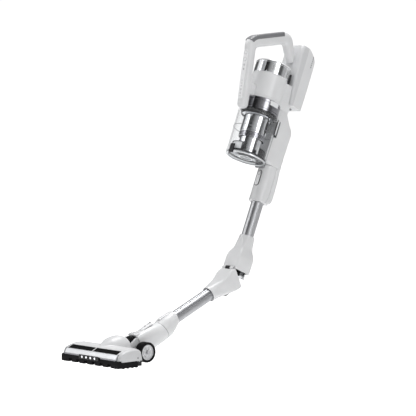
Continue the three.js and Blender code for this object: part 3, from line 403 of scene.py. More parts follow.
def brushed(name, color, rough, matrix, stretch=(900, 12, 900), strength=0.3, metallic=1.0):
    """Metal with fine scratches along its length, or round it."""
    material, tree, shader = blank(name)
    vector = local_place(tree, matrix)
    scratches = node(tree, "ShaderNodeMapping")
    scratches.inputs["Scale"].default_value = stretch
    grain = node(tree, "ShaderNodeTexNoise", Scale=1.0, Detail=4.0, Roughness=0.7)
    wire(vector, scratches.inputs["Vector"])
    wire(scratches.outputs["Vector"], grain.inputs["Vector"])
    tinted(tree, shader, vector, color, 0.05, 20)
    roughened(tree, shader, grain.outputs["Fac"], rough * 0.75, rough * 1.3)
    bumped(tree, shader, grain.outputs["Fac"], strength)
    set_inputs(shader, Metallic=metallic)
    return material


def around_axis(tree, vector, centre, radius):
    """(distance round, height) on a cylinder about y through z = centre, in metres."""
    parts = node(tree, "ShaderNodeSeparateXYZ")
    wire(vector, parts.inputs["Vector"])
    shifted = node(tree, "ShaderNodeMath", operation="SUBTRACT")
    shifted.inputs[1].default_value = centre * MM
    wire(parts.outputs["Z"], shifted.inputs[0])
    angle = node(tree, "ShaderNodeMath", operation="ARCTAN2")
    wire(parts.outputs["X"], angle.inputs[0])
    wire(shifted.outputs["Value"], angle.inputs[1])
    length = node(tree, "ShaderNodeMath", operation="MULTIPLY")
    length.inputs[1].default_value = radius * MM
    wire(angle.outputs["Value"], length.inputs[0])
    flat = node(tree, "ShaderNodeCombineXYZ")
    wire(length.outputs["Value"], flat.inputs["X"])
    wire(parts.outputs["Y"], flat.inputs["Y"])
    return flat.outputs["Vector"]


def perforated_chrome():
    """Bright metal with a regular grid of small holes, painted near black: painted shade inside them."""
    material, tree, shader = blank("perforated_chrome")
    flat = around_axis(tree, local_place(tree, UPPER), CYCLONE, EXHAUST["radius"])
    cells = node(tree, "ShaderNodeTexVoronoi", Scale=210.0, Randomness=0.0)
    ramp = node(tree, "ShaderNodeValToRGB")
    # The holes' near-black colour is painted shade.
    ramp.color_ramp.elements[0].position = 0.24
    ramp.color_ramp.elements[0].color = (0.03, 0.03, 0.033, 1)
    ramp.color_ramp.elements[1].position = 0.32
    ramp.color_ramp.elements[1].color = (0.78, 0.79, 0.8, 1)
    wire(flat, cells.inputs["Vector"])
    wire(cells.outputs["Distance"], ramp.inputs["Fac"])
    wire(ramp.outputs["Color"], shader.inputs["Base Color"])
    roughened(tree, shader, cells.outputs["Distance"], 0.3, 0.1)
    bumped(tree, shader, ramp.outputs["Color"], 0.6, 0.0006)
    set_inputs(shader, Metallic=1.0)
    return material


def clear_plastic(name, through_tint, edge_tint, haze, base):
    """Clear moulding: light goes straight through its middle, and its edges go dark and shiny."""
    material, tree, shader = blank(name)
    vector = node(tree, "ShaderNodeTexCoord").outputs["Object"]
    waves = node(tree, "ShaderNodeTexNoise", Scale=40.0, Detail=1.0)
    wire(vector, waves.inputs["Vector"])
    bumped(tree, shader, waves.outputs["Fac"], 0.15, 0.0004)
    roughened(tree, shader, waves.outputs["Fac"], 0.024, 0.064)
    set_inputs(shader, Base_Color=(*base, 1), IOR=1.5)
    facing = node(tree, "ShaderNodeLayerWeight", Blend=0.5)
    tint = node(tree, "ShaderNodeValToRGB")
    for element, place, tone in zip(tint.color_ramp.elements, (0.72, 0.99), (through_tint, edge_tint)):
        element.position = place
        element.color = (*tone, 1)
    through = node(tree, "ShaderNodeBsdfTransparent")
    grazing = node(tree, "ShaderNodeMath", operation="POWER")
    grazing.inputs[1].default_value = EDGE_POWER
    amount = node(tree, "ShaderNodeMath", operation="MULTIPLY_ADD", use_clamp=True)
    amount.inputs[1].default_value = EDGE_SHINE
    amount.inputs[2].default_value = haze
    mix = node(tree, "ShaderNodeMixShader")
    wire(facing.outputs["Facing"], tint.inputs["Fac"])
    wire(tint.outputs["Color"], through.inputs["Color"])
    wire(facing.outputs["Facing"], grazing.inputs[0])
    wire(grazing.outputs["Value"], amount.inputs[0])
    wire(amount.outputs["Value"], mix.inputs["Fac"])
    wire(through.outputs["BSDF"], mix.inputs[1])
    wire(shader.outputs["BSDF"], mix.inputs[2])
    wire(mix.outputs["Shader"], tree.nodes["Material Output"].inputs["Surface"])
    return material


def glowing(name, color, strength):
    material, tree, shader = blank(name)
    vector = node(tree, "ShaderNodeTexCoord").outputs["Object"]
    tinted(tree, shader, vector, color, 0.03, 60)
    fine = node(tree, "ShaderNodeTexNoise", Scale=500.0)
    wire(vector, fine.inputs["Vector"])
    bumped(tree, shader, fine.outputs["Fac"], 0.1)
    set_inputs(shader, Emission_Color=(*color, 1), Emission_Strength=strength, Roughness=0.15)
    return material


def tyre_rubber():
    """Rubber with fine ribs across the tread."""
    material, tree, shader = blank("tyre_rubber")
    vector = node(tree, "ShaderNodeTexCoord").outputs["Object"]
    drift = tinted(tree, shader, vector, (0.008, 0.008, 0.009), 0.25, 50)
    roughened(tree, shader, drift, 0.5, 0.75)
    set_inputs(shader, Specular_IOR_Level=0.08)
    ribs = node(tree, "ShaderNodeTexWave", Scale=120.0, Distortion=0.4, bands_direction="X")
    wire(vector, ribs.inputs["Vector"])
    bumped(tree, shader, ribs.outputs["Fac"], 0.5, 0.0004)
    return material


def bristle_pile():
    material, tree, shader = blank("bristle_pile")
    vector = node(tree, "ShaderNodeTexCoord").outputs["Object"]
    drift = tinted(tree, shader, vector, (0.05, 0.052, 0.06), 0.5, 160)
    roughened(tree, shader, drift, 0.7, 0.95)
    tufts = node(tree, "ShaderNodeTexVoronoi", Scale=900.0)
    wire(vector, tufts.inputs["Vector"])
    bumped(tree, shader, tufts.outputs["Distance"], 1.0, 0.0008)
    set_inputs(shader, Sheen_Weight=0.4)
    return material


WHITE = moulded("white_plastic", (0.66, 0.664, 0.672), 0.36, coat=0.1)
TRIM = moulded("white_trim", (0.76, 0.765, 0.775), 0.24, grain=700, strength=0.12, coat=0.3)
# A darker copy of the white plastic, painted shade on the battery's dock, the wheel hubs and the head's
# end caps.
WHITE_PAINTED_SHADE = moulded("white_painted_shade", (0.56, 0.565, 0.575), 0.4, coat=0.08)
DARK = moulded("dark_plastic", (0.014, 0.014, 0.016), 0.45, grain=1500, strength=0.5, spread=0.2,
               shine=0.3)
GLOSS_BLACK = moulded("gloss_black", (0.006, 0.006, 0.007), 0.14, strength=0.05, spread=0.2, shine=0.4)
GRIP_SOFT = moulded("soft_grip", (0.17, 0.172, 0.18), 0.34, grain=2200, strength=0.6, spread=0.08,
                    shine=0.55)
GREY = moulded("mid_grey", (0.24, 0.245, 0.255), 0.45, spread=0.05)
MARK = moulded("grey_marks", (0.2, 0.205, 0.215), 0.5, spread=0.04)
RUBBER = moulded("black_rubber", (0.007, 0.007, 0.008), 0.42, grain=1200, strength=0.35, spread=0.2,
                 shine=0.08)
FILTER = moulded("filter_paper", (0.84, 0.82, 0.76), 0.9, grain=600, strength=1.0, spread=0.05)
CHROME = brushed("bright_chrome", (0.8, 0.81, 0.83), 0.1, UPPER, (300, 300, 300), 0.05)
SILVER = brushed("silver_stripe", (0.7, 0.71, 0.73), 0.3, HEAD, (12, 700, 700), 0.2, metallic=0.85)
STEEL = brushed("turned_steel", (0.5, 0.5, 0.52), 0.3, HEAD, (40, 900, 900), 0.3)
UPPER_TUBE = brushed("upper_tube_metal", (0.5, 0.505, 0.52), 0.4, UPPER)
# The lower tube's metal is a darker copy of the upper tube's: painted shade.
LOWER_TUBE = brushed("lower_tube_metal", (0.42, 0.425, 0.44), 0.4, LOWER)
BAND_METAL = brushed("dark_band_metal", (0.3, 0.3, 0.32), 0.2, UPPER, (12, 900, 12), 0.15)
PERFORATED = perforated_chrome()
CLEAR = clear_plastic("clear_bin", (0.985, 0.987, 0.99), (0.66, 0.67, 0.68), 0.04, (0.55, 0.555, 0.565))
CLEAR_LID = clear_plastic("clear_lid", (0.86, 0.87, 0.88), (0.3, 0.31, 0.32), 0.12, (0.3, 0.305, 0.31))
SMOKED = clear_plastic("smoked_window", (0.05, 0.05, 0.055), (0.01, 0.01, 0.01), 0.75,
                       (0.003, 0.003, 0.0035))
TYRE = tyre_rubber()
BRISTLES = bristle_pile()
LENS = glowing("lamp_lens", (0.95, 0.96, 1.0), 0.6)

# The record's slot names by material. A piece works one out from here, unless its call names another, but
# then leaves it unused.
SLOTS = {WHITE.name: "white_plastic", TRIM.name: "white_trim", WHITE_PAINTED_SHADE.name: "white_plastic",
         DARK.name: "dark_plastic", GLOSS_BLACK.name: "dark_plastic", GREY.name: "soft_grey",
         RUBBER.name: "rubber", CHROME.name: "polished_metal", SILVER.name: "chrome"}

# ---------------------------------------------------------------- making pieces


def mesh_of(name, shape, matrix):
    points, faces = shape
    mesh = bpy.data.meshes.new(name)
    mesh.from_pydata([matrix @ Vector(point) for point in points], [], faces)
    work = bmesh.new()
    work.from_mesh(mesh)
    bmesh.ops.remove_doubles(work, verts=work.verts, dist=0.01 * MM)
    bmesh.ops.recalc_face_normals(work, faces=work.faces)
    work.to_mesh(mesh)
    work.free()
    return mesh


def shaded(mesh, sharp):
    mesh.shade_smooth()
    mesh.set_sharp_from_angle(angle=math.radians(sharp))


def linked(name, mesh):
    made = bpy.data.objects.new(name, mesh)
    bpy.context.scene.collection.objects.link(made)
    return made


def baked(made):
    """The object's mesh with its modifiers applied."""
    bpy.context.view_layer.update()
    result = bpy.data.meshes.new_from_object(made.evaluated_get(bpy.context.evaluated_depsgraph_get()))
    made.modifiers.clear()
    made.data = result


def carve(made, *cutters):
    """Cuts shapes, given in world metres as meshes, out of an object."""
    tools = []
    for i, mesh in enumerate(cutters):
        tool = linked(f"cutter_{i}", mesh)
        tools.append(tool)
        cut = made.modifiers.new("cut", "BOOLEAN")
        cut.operation = "DIFFERENCE"
        cut.solver = "EXACT"
        cut.object = tool
    baked(made)
    for tool in tools:
        bpy.data.objects.remove(tool)


def piece(name, body, shape, matrix, material, stands_for=(), slot=None, bevel=0.0, sharp=32, cuts=(),
          remesh=0.0, relax=0):
    """A finished piece that rides on a body. Sizes are in the local frame's millimetres."""
    slot = slot or SLOTS.get(material.name)
    made = linked(name, mesh_of(name, shape, matrix))
    if remesh:
        voxels = made.modifiers.new("voxels", "REMESH")
        voxels.mode = "VOXEL"
        voxels.voxel_size = remesh * MM
        smooth = made.modifiers.new("relax", "SMOOTH")
        smooth.iterations = relax
        baked(made)
    if cuts:
        carve(made, *(mesh_of("cutter", tool, matrix) for tool in cuts))
    made.data.materials.clear()
    made.data.materials.append(material)
    for polygon in made.data.polygons:
        polygon.material_index = 0
    shaded(made.data, sharp)
    if bevel:
        edges = made.modifiers.new("edges", "BEVEL")
        edges.width = bevel * MM
        edges.segments = 3
        edges.limit_method = "ANGLE"
        edges.angle_limit = math.radians(sharp)
        edges.harden_normals = True
    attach(made, body)
    if stands_for:
        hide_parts(*stands_for)
    return made


def keep(material, *nodes):
    """CAD nodes that stay as they are and take a finished material."""
    for name in nodes:
        mesh = frame["nodes"][name].data
        mesh.materials.clear()
        mesh.materials.append(material)
        for polygon in mesh.polygons:
            polygon.material_index = 0


# ---------------------------------------------------------------- main unit


def battery_sections():
    """The battery block: (height, front, back, half width, corner) up its length."""
    bottom, half = BATTERY["bottom"], BATTERY["half"]
    rows = ((0, 22, -26, half - 1, 8), (4, 22.8, -27, half, 8), (48, 29, -28, half, 8),
            (88, 33.5, -28, half, 8), (136, 38, -28, half, 9), (156, 38, -24, half, 10),
            (170, 37.4, -12, half - 1, 12), (178, 36, -2, half - 3, 12), (180, 34, 4, half - 5, 12))
    return [station(bottom + rise, wide, front, back, corner, corner)
            for rise, front, back, wide, corner in rows]


def build_battery():
    block = loft(*battery_sections(), between=3)
    far = 2 * BATTERY["bottom"]
    rear = box((-60, 60), (0, far), (-90, BATTERY["split"] - 0.3))
    front = box((-60, 60), (0, far), (BATTERY["split"], 90))
    button_room = box((-9.3, 9.3), (0, BATTERY["bottom"] + 6), (-14.3, 0.3))
    # The dock takes the darker white: painted shade.
    piece("battery_dock_shell", "main_unit", block, UPPER, WHITE_PAINTED_SHADE, ["battery_dock"], bevel=0.8,
          cuts=[rear])
    piece("battery_case", "battery", block, UPPER, WHITE, ["battery_pack"], bevel=0.8,
          cuts=[front, button_room])
    ribs = [box((-8.6, 8.6), (508.6, 514.5), (z, z + 1.6)) for z in (-13.4, -10.6, -7.8, -5.0, -2.2)]
    piece("battery_button_cap", "battery_button", joined(box((-9, 9), (509, 514.5), (-14, 0)), *ribs),
          UPPER, GREY, ["battery_button"], bevel=0.5)
    low, pitch = BATTERY["lamps"], BATTERY["lamp_pitch"]
    starts = [low + pitch * i for i in range(BATTERY["lamp_count"])]
    lamps = [stadium(1.5, start, start + 4, -0.6, 0.6) for start in starts]
    turn = Matrix.Translation((BATTERY["half"] - 0.2, 0, -12)) @ Matrix.Rotation(math.radians(90), 4, "Y")
    piece("battery_lamps", "battery", moved(joined(*lamps), turn), UPPER, MARK, bevel=0.2)


def build_chassis():
    """The spine behind the cyclone, from the wand's connector up to the motor."""
    rows = ((CONNECTOR["top"] + 0.6, 26, -30), (343, 46, -30), (400, 46, -30), (441, 46, -30),
            (462, 46, -12.5), (483, 46, 4), (BAND["top"], 46, 5))
    spine = loft(*(station(at, CONNECTOR["half"], front, back, 12, 10) for at, front, back in rows),
                 between=4)
    piece("chassis_shell", "main_unit", spine, UPPER, WHITE, ["main_chassis"], bevel=0.9,
          cuts=[rod(60, 300, 449.3), rod(53.3, 448, 500)])


def build_motor():
    """The motor's can, the fairing that joins it to the battery, the handle's web and a dark plate of
    painted shade.
    """
    radius, top = MOTOR["radius"], MOTOR["top"]
    can = lathe([(30, BAND["top"] + 0.3), (radius - 1, BAND["top"] + 0.3), (radius, BAND["top"] + 1.3),
                 (radius, 494), (radius - 0.7, 494.4), (radius - 0.7, 495.2), (radius, 495.6),
                 (radius, top - 0.8), (radius - 0.8, top), (radius - 4.5, top), (radius - 4.5, 491),
                 (30, 491)])
    fairing = loft(station(BAND["top"] + 0.3, CONNECTOR["half"], 60, 5, 4, 10),
                   station(BATTERY["bottom"], 29, 60, 8, 4, 10), station(top, 30, 60, 20, 4, 10))
    battery_room = loft(*battery_sections(), between=3)
    piece("motor_can", "main_unit", can, UPPER, WHITE, ["motor_housing"], sharp=28)
    piece("motor_fairing", "main_unit", fairing, UPPER, WHITE, bevel=1.0,
          cuts=[rod(radius - 4, 480, 570), battery_room])
    web = loft(station(486, 10, 160, 139, 4, 2), station(502, 11, 166, 139, 4, 2),
               station(519, 9, 171, 141, 4, 2))
    piece("handle_web", "main_unit", web, UPPER, WHITE, bevel=1.2)
    # A dark plate with grey slats fills the gap between the exhaust ring and the battery: painted shade
    # of that gap.
    piece("shade_gap_plate", "main_unit", box((-24, 24), (557, 596), (36.5, 41)), UPPER, DARK, bevel=1.2)
    slats = [box((-22, 22), (561 + 5 * i, 563 + 5 * i), (40.5, 41.8)) for i in range(7)]
    piece("shade_gap_plate_slats", "main_unit", joined(*slats), UPPER, GREY, bevel=0.3)


def build_cyclone():
    """The dark band over the bin, the shroud and the cone inside it."""
    radius, low, high = BAND["radius"], BAND["bottom"], BAND["top"]
    groove = [(radius, low + 1), (radius, 456), (radius - 1.4, 456.6), (radius - 1.4, 458.6),
              (radius, 459.2), (radius, 478), (radius - 1.4, 478.6), (radius - 1.4, 480), (radius, 480.6)]
    ring = lathe([(47, low), (radius - 1, low), *groove, (radius, high - 1), (radius - 1, high),
                  (47, high)])
    piece("band_ring", "main_unit", ring, UPPER, BAND_METAL, ["cyclone_band"], "dark_metal", sharp=25)
    tab = arc_plate(radius - 0.5, radius + 2.6, CATCH_TAB["low"], CATCH_TAB["high"], CATCH_TAB["start"],
                    CATCH_TAB["end"])
    piece("bin_catch_tab", "main_unit", tab, UPPER, TRIM, bevel=0.8)
    rim = joined(pipe(radius + 0.5, 47, low, low + 4), pipe(49.5, 46, 440, 449))
    piece("cyclone_gasket", "main_unit", rim, UPPER, GLOSS_BLACK, bevel=0.3)
    r, base = SHROUD["radius"], SHROUD["bottom"]
    drum = lathe([(36, base), (r - 1.4, base), (r - 1.4, 388), (r - 0.6, 388.4), (r, 389), (r, 438),
                  (r - 1, 439), (r - 1, 441), (46, 442), (46, 453), (36, 453)])
    piece("shroud_drum", "main_unit", drum, UPPER, CHROME, ["cyclone_shroud"], sharp=25)
    piece("shroud_skirt", "main_unit", pipe(r - 0.4, r - 1.6, base + 1, 388.2), UPPER, BAND_METAL,
          slot="dark_metal", bevel=0.3)
    slots = [arc_plate(r - 0.6, r + 0.35, 399, 430, angle, angle + 7) for angle in (96, 108, 120, 132)]
    piece("shroud_slots", "main_unit", joined(*slots), UPPER, DARK, bevel=0.2)
    cone = lathe([(28, 328), (30, 328), (31, 342), (32, 342), (32, 345), (31.3, 345), (33, 444),
                  (31, 444)])
    piece("cone_drum", "main_unit", cone, UPPER, CHROME, ["cyclone_cone"], sharp=25)


def turned_about_cyclone(angle):
    """Turns something drawn against the cyclone's front round to another side of it."""
    return Matrix.Translation((0, 0, CYCLONE)) @ Matrix.Rotation(math.radians(angle), 4, "Y")


def build_filter_cap():
    r, low, high = EXHAUST["radius"], EXHAUST["bottom"], EXHAUST["top"]
    grille = lathe([(r - 3, low), (r - 0.6, low), (r, low + 0.6), (r, low + 3), (r - 0.5, low + 3.4),
                    (r - 0.5, high - 3.4), (r, high - 3), (r, high - 0.6), (r - 0.6, high),
                    (r - 3, high)])
    piece("exhaust_grille", "filter_cap", grille, UPPER, CHROME, ["exhaust_ring"], sharp=25)
    for i, (start, end) in enumerate(VENTS):
        plate = arc_plate(r - 2, r + 0.15, low + 7, high - 7, start, end)
        piece(f"exhaust_vent_{i + 1}", "filter_cap", plate, UPPER, PERFORATED, slot="polished_metal",
              bevel=0.3)
    base, top = CAP["bottom"], CAP["bottom"] + CAP["height"]
    disc = lathe([(0.01, base), (r, base), (r, base + 1.5), (r - 1.5, base + 3.6), (r - 6, base + 5),
                  (r - 9, base + 5.2), (r - 9.6, base + 4.6), (r - 11, base + 4.6),
                  (r - 11.6, base + 5.3), (12, top), (0.01, top)])
    piece("cap_disc", "filter_cap", disc, UPPER, TRIM, ["top_cap"], "white_plastic", sharp=25)
    folds = []
    for i in range(60):
        a = 2 * math.pi * i / 60
        folds += [(43.5 * math.sin(a), 43.5 * math.cos(a)),
                  (40 * math.sin(a + 0.052), 40 * math.cos(a + 0.052))]
    rings = [[(x, y, CYCLONE + z) for x, z in folds] for y in (566, 594)]
    piece("pleated_filter", "filter_cap", skin(rings), UPPER, FILTER, ["hepa_filter"], "filter_media",
          sharp=20)


def build_bin():
    """The clear bin and what is fixed to its wall."""
    low, high, wall = BIN["low"], BIN["high"], BIN["wall"]
    base, top = BIN["bottom"], BIN["top"]
    outside = [(low, base + 0.6), (low + 0.9, base + 3), (low + 0.9, base + 6), (low + 0.2, base + 7.5),
               (high, top - 6), (high + 0.8, top - 5), (high + 0.8, top - 1), (high, top)]
    inside = [(BIN["mouth"], top), (BIN["mouth"], top - 2.5), (high - wall, top - 2.5),
              (low - wall, base)]
    piece("bin_wall", "bin", lathe([(low - 0.6, base), *outside, *inside]), UPPER, CLEAR, ["dust_bin"],
          "clear_plastic", sharp=28)
    ears = [joined(box(span, (318, 335), (27, 37)), across(rod(4.5, *span, 0, 24), 318, 31.5))
            for span in ((-16, -10), (10, 16))]
    piece("bin_ears", "bin", joined(*ears), UPPER, GREY, slot="clear_plastic", bevel=0.6)
    piece("bin_flap", "bin", arc_plate(49, 51, 327, 347, 84, 126), UPPER, DARK, bevel=0.5)
    piece("bin_rib", "bin", arc_plate(49, 52, 325, 348, 77, 82), UPPER, TRIM, bevel=0.5)
    # A bright strip down the bin's wall where a highlight runs: painted highlight.
    piece("bin_highlight_strip", "bin", moved(box((-1, 1), (326, 398), (56, 59.6)), turned_about_cyclone(117)),
          UPPER, TRIM, bevel=0.4)
    scraper = arc_plate(49, 50.4, 326, 351, -24, 28)
    scraper_face = arc_plate(50.3, 51.2, 329, 348, -14, 24)
    piece("bin_scraper", "bin", scraper, UPPER, DARK, bevel=0.4)
    piece("bin_scraper_face", "bin", scraper_face, UPPER, TRIM, bevel=0.3)
    piece("max_line", "bin", pipe(high + 0.15, high - 0.6, 398, 399.2), UPPER, MARK, slot="soft_grey")


def build_lid():
    """The bin's clear lid with its bright ring, and the catch that holds it."""
    low, r = LID["bottom"], LID["radius"]
    knuckle = joined(box((-9.6, 9.6), (317, 323), (31.5, 40)),
                     across(rod(4.5, -9.6, 9.6, 0, 32), 318, 31.5))
    plate = lathe([(0.01, low + 3), (12, low + 3), (13, low + 2), (15, low + 2), (16, low + 3),
                   (30, low + 3), (31, low + 1.6), (33, low + 1.6), (34, low + 3), (r - 6, low + 3),
                   (r - 5, low), (r - 1, low), (r, low + 1), (r, 323), (0.01, 323)])
    piece("lid_plate", "lid", joined(plate, knuckle), UPPER, CLEAR_LID, ["bin_lid"], "clear_plastic",
          bevel=0.3)
    piece("lid_ring", "lid", pipe(r + 0.5, r - 5.2, low - 0.4, low + 2.4), UPPER, SILVER, bevel=0.6)
    piece("lid_boss", "lid", pipe(20, 17, low + 1, low + 3.4), UPPER, CHROME, slot="chrome", bevel=0.4)
    catch_z = CYCLONE + BIN["low"] + 1.2
    catch = joined(box((-8, 8), (low - 5, 338), (catch_z, catch_z + 3.5)),
                   box((-8, 8), (low - 5, low - 0.4), (catch_z - 1, catch_z + 1)),
                   *(box((-6, 6), (326 + 3 * i, 327.4 + 3 * i), (catch_z + 3, catch_z + 4.2))
                     for i in range(4)))
    piece("lid_catch", "lid_latch", catch, UPPER, DARK, ["lid_latch"], bevel=0.6)
    keep(RUBBER, "lid_seal")
    keep(STEEL, "lid_hinge_pin")


def build_bin_lever():
    turn = turned_about_cyclone(128)
    outside = BIN["high"] + 1.2
    piece("lever_surround", "bin", moved(stadium(9.2, 397, 448, outside - 1.2, outside + 1.0), turn),
          UPPER, GLOSS_BLACK, bevel=0.5)
    shape = joined(stadium(7.6, 399.5, 445.5, outside, outside + 4.8),
                   stadium(4, 404, 412, outside + 4.6, outside + 5.8))
    piece("lever_cap", "bin_lever", moved(shape, turn), UPPER, TRIM, ["bin_lever"], bevel=1.4)
    # A black plate on the lever's face draws the dark line along its edge and bottom: painted shade of
    # the gap round the lever.
    pad = joined(stadium(6.6, 401, 444, outside + 4.6, outside + 6.4),
                 box((-7, 7), (397.5, 401), (outside, outside + 6)))
    piece("lever_shade_plate", "bin_lever", moved(pad, turn), UPPER, GLOSS_BLACK, bevel=0.5)


def flat_section(half, front, back, front_round, back_round):
    return [(x, z) for x, _, z in section(0, half, front, back, front_round, back_round)]


def leg_frame(start, end):
    """A frame in the upper frame with Y along a straight stretch of the handle."""
    run = Vector(end) - Vector(start)
    tilt = math.atan2(run.y, run.x)
    return Matrix.Translation((0, start[0], start[1])) @ Matrix.Rotation(tilt, 4, "X")


def smooth_step(value):
    t = max(0, min(1, value))
    return t * t * (3 - 2 * t)


def handle_path():
    """Places along the handle, each with its heading and how far the crown stands out there."""
    path = evenly(rounded_path(HANDLE_PATH, HANDLE["corner"], 16), 150)
    shoulder, heel = (Vector((0, *point)) for point in HANDLE_PATH[1:3])
    along_bar = (heel - shoulder).normalized()
    length = (heel - shoulder).length
    rows = []
    for place, heading in path:
        along = (place - shoulder).dot(along_bar)
        beside = (place - shoulder - along_bar * along).length
        before, after = along - beside, length - along - beside
        rise = smooth_step(before / HANDLE["ramp"] + 1) * smooth_step(after / HANDLE["ramp"] + 1)
        rows.append((place, heading, HANDLE["crown"] * rise, along))
    return rows


def crowned(flat, crown):
    """A cross-section stretched outwards on its outer half."""
    depth = HANDLE["depth"]
    return [(x, z * (depth + crown) / depth if z > 0 else z) for x, z in flat]


def build_handle():
    rows = handle_path()
    first, heading = rows[0][:2]
    depth, corner = HANDLE["depth"], HANDLE["round"]
    flat = flat_section(HANDLE["half"], depth, -depth, corner, corner)
    rings = []
    for back, size in ((-11, 0.35), (-9.5, 0.62), (-6, 0.86)):
        rings += path_rings([(first + heading * back, heading)],
                            [[(x * size, z * size) for x, z in flat]])
    rings += path_rings([row[:2] for row in rows], [crowned(flat, row[2]) for row in rows])
    piece("handle_loop", "main_unit", skin(rings), UPPER, WHITE, ["handle_frame"], sharp=60,
          cuts=[rod(MOTOR["radius"] + 0.3, 430, 572)])
    build_grip(rows)
    build_handle_panel()


def build_grip(rows):
    """The soft cover over the top bar, between its two corners."""
    length = (Vector(HANDLE_PATH[2]) - Vector(HANDLE_PATH[1])).length
    top = HANDLE["depth"] + HANDLE["crown"] + GRIP["proud"]
    flat = flat_section(HANDLE["half"] + GRIP["proud"], top, top - GRIP["depth"], HANDLE["round"], 1)
    chosen = [row[:2] for row in rows
              if GRIP["start"] < row[3] < length - GRIP["end"] and row[2] > HANDLE["crown"] / 2]
    rings = path_rings(chosen, [flat] * len(chosen))
    piece("grip_cover", "main_unit", skin(rings), UPPER, GRIP_SOFT, ["grip_insert"], "soft_grey",
          bevel=1.2, sharp=50)


def path_rings(path, sections):
    """Cross-sections of (x, z) points stood along a path, which z stands out from."""
    rings = []
    for (place, heading), flat in zip(path, sections):
        outward = Vector((0, -heading.z, heading.y))
        rings.append([tuple(place + outward * z + SIDEWAYS * x) for x, z in flat])
    return rings


def build_handle_panel():
    leg = leg_frame(HANDLE_PATH[0], HANDLE_PATH[1])
    low, high = PANEL["low"], PANEL["high"]
    plate = stadium(PANEL["half"], PANEL["start"], PANEL["end"], low, high)
    holes = [moved_to(rod(5.3, 0, 40, 0, 32), y) for y in BUTTONS.values()]
    piece("panel_plate", "main_unit", moved(plate, leg), UPPER, TRIM, ["handle_panel"], bevel=0.8,
          cuts=[moved(hole, leg) for hole in holes])
    for name, y in BUTTONS.items():
        cap = lathe([(0.01, 13.2), (5, 13.2), (5, 15), (4.2, 15.7), (2, 15.3), (0.01, 15.2)], 0, 32)
        piece(f"{name}_cap", f"{name}_button", moved(moved_to(cap, y), leg), UPPER, TRIM,
              [f"{name}_button"], "soft_grey", sharp=25)
    marks = [moved_to(pipe(2.6, 1.9, high - 0.1, high + 0.15, 0, 32), y) for y in (110, 98, 40, 30)]
    marks += [stadium(0.5, y - 2, y + 2, high - 0.1, high + 0.15) for y in (110, 98)]
    marks += [moved_to(rod(1.2, high - 0.1, high + 0.2, 0, 16), y) for y in (22, 50, 58, 66)]
    piece("panel_marks", "main_unit", moved(joined(*marks), leg), UPPER, MARK, slot="soft_grey")
    rings = [moved_to(pipe(5.9, 5.4, high - 0.1, high + 0.2, 0, 32), y) for y in BUTTONS.values()]
    piece("panel_rings", "main_unit", moved(joined(*rings), leg), UPPER, MARK, slot="soft_grey")


def build_connector():
    """The socket that holds the wand, with its release button."""
    low, half = CONNECTOR["bottom"], CONNECTOR["half"]
    outer = loft(station(low, half - 1.2, half - 1.2, -23, 24, 14),
                 station(low + 2, half, half, -25, 24, 14), station(low + 16, half, half, -34, 24, 11),
                 station(low + 60, half, half, -34, 24, 10),
                 station(CONNECTOR["top"], half, half, -30, 24, 10), notch=CONNECTOR["rib"])
    hollow = rod(TUBE["radius"] + 0.3, 210, 292.3, 0)
    pocket = stadium(7.3, 263.7, 308.3, 20.9, 40)
    piece("connector_shell", "main_unit", outer, UPPER, WHITE, ["wand_connector"], bevel=0.7,
          cuts=[hollow, pocket])
    surround = stadium(8.6, 262.4, 309.6, 24.1, 26.2)
    piece("release_surround", "main_unit", surround, UPPER, DARK, bevel=0.5, cuts=[pocket])
    knob = lathe([(0.01, 26), (4.2, 26), (4.4, 27.2), (3.2, 27.7), (0.01, 27.2)], 0, 32)
    cap = joined(stadium(6.9, 264.2, 307.8, 23, 26.7), moved_to(knob, 300))
    piece("release_cap", "wand_button", cap, UPPER, TRIM, ["wand_button"], bevel=0.9)
    piece("release_ring", "wand_button", moved_to(pipe(5.2, 4.2, 26.5, 27.1, 0, 32), 300), UPPER, DARK)
    dot = moved(moved_to(rod(1.5, 25.4, 26, 0, 24), 287), Matrix.Rotation(math.radians(32), 4, "Y"))
    piece("connector_dot", "main_unit", dot, UPPER, GREY)


# ---------------------------------------------------------------- wand and knee


def fluted(low, high):
    """A tube with fine grooves along it, on both sides of its front."""
    radius, depth = TUBE["radius"], TUBE["groove"]
    centres = [sign * angle for angle in TUBE["groove_at"] for sign in (-1, 1)]
    ring = []
    for i in range(2 * ROUND):
        angle = 360 * i / (2 * ROUND)
        near = min(abs((angle - centre + 180) % 360 - 180) for centre in centres)
        dip = depth if near < 4 else depth * 0.5 if near < 6 else 0
        turn = math.radians(angle)
        ring.append(((radius - dip) * math.sin(turn), (radius - dip) * math.cos(turn)))
    inner = [(x * TUBE["bore_share"], z * TUBE["bore_share"]) for x, z in ring]
    turns = ((inner, low), (ring, low), (ring, high), (inner, high))
    return skin([[(x, y, z) for x, z in flat] for flat, y in turns], closed=True)


def knee_shell(stations, inner_front, side):
    """A knee housing: its outer skin, then back down the inside of its mouth."""
    mouth = [station(KNEE["face"], 22.4, 26, -23, 10, 8), station(40, 21, inner_front, -21, 12, 10),
             station(66, 17, 16, -16)]
    rings = smooth_rings(stations, 6) + smooth_rings(mouth, 3)
    return skin([[(x, side * y, z) for x, y, z in ring] for ring in rings])


def knuckles(spans, side):
    """Round barrels about the knee's pin, one for each span along it."""
    r, edge = KNEE["knuckle"], 0.6
    turned = [lathe([(r - 2.9, a), (r - edge, a), (r, a + edge), (r, b - edge), (r - edge, b),
                     (r - 2.9, b)], 0, 40) for a, b in spans]
    return joined(*(across(shape, side * KNEE["hinge_y"], KNEE["hinge_z"]) for shape in turned))


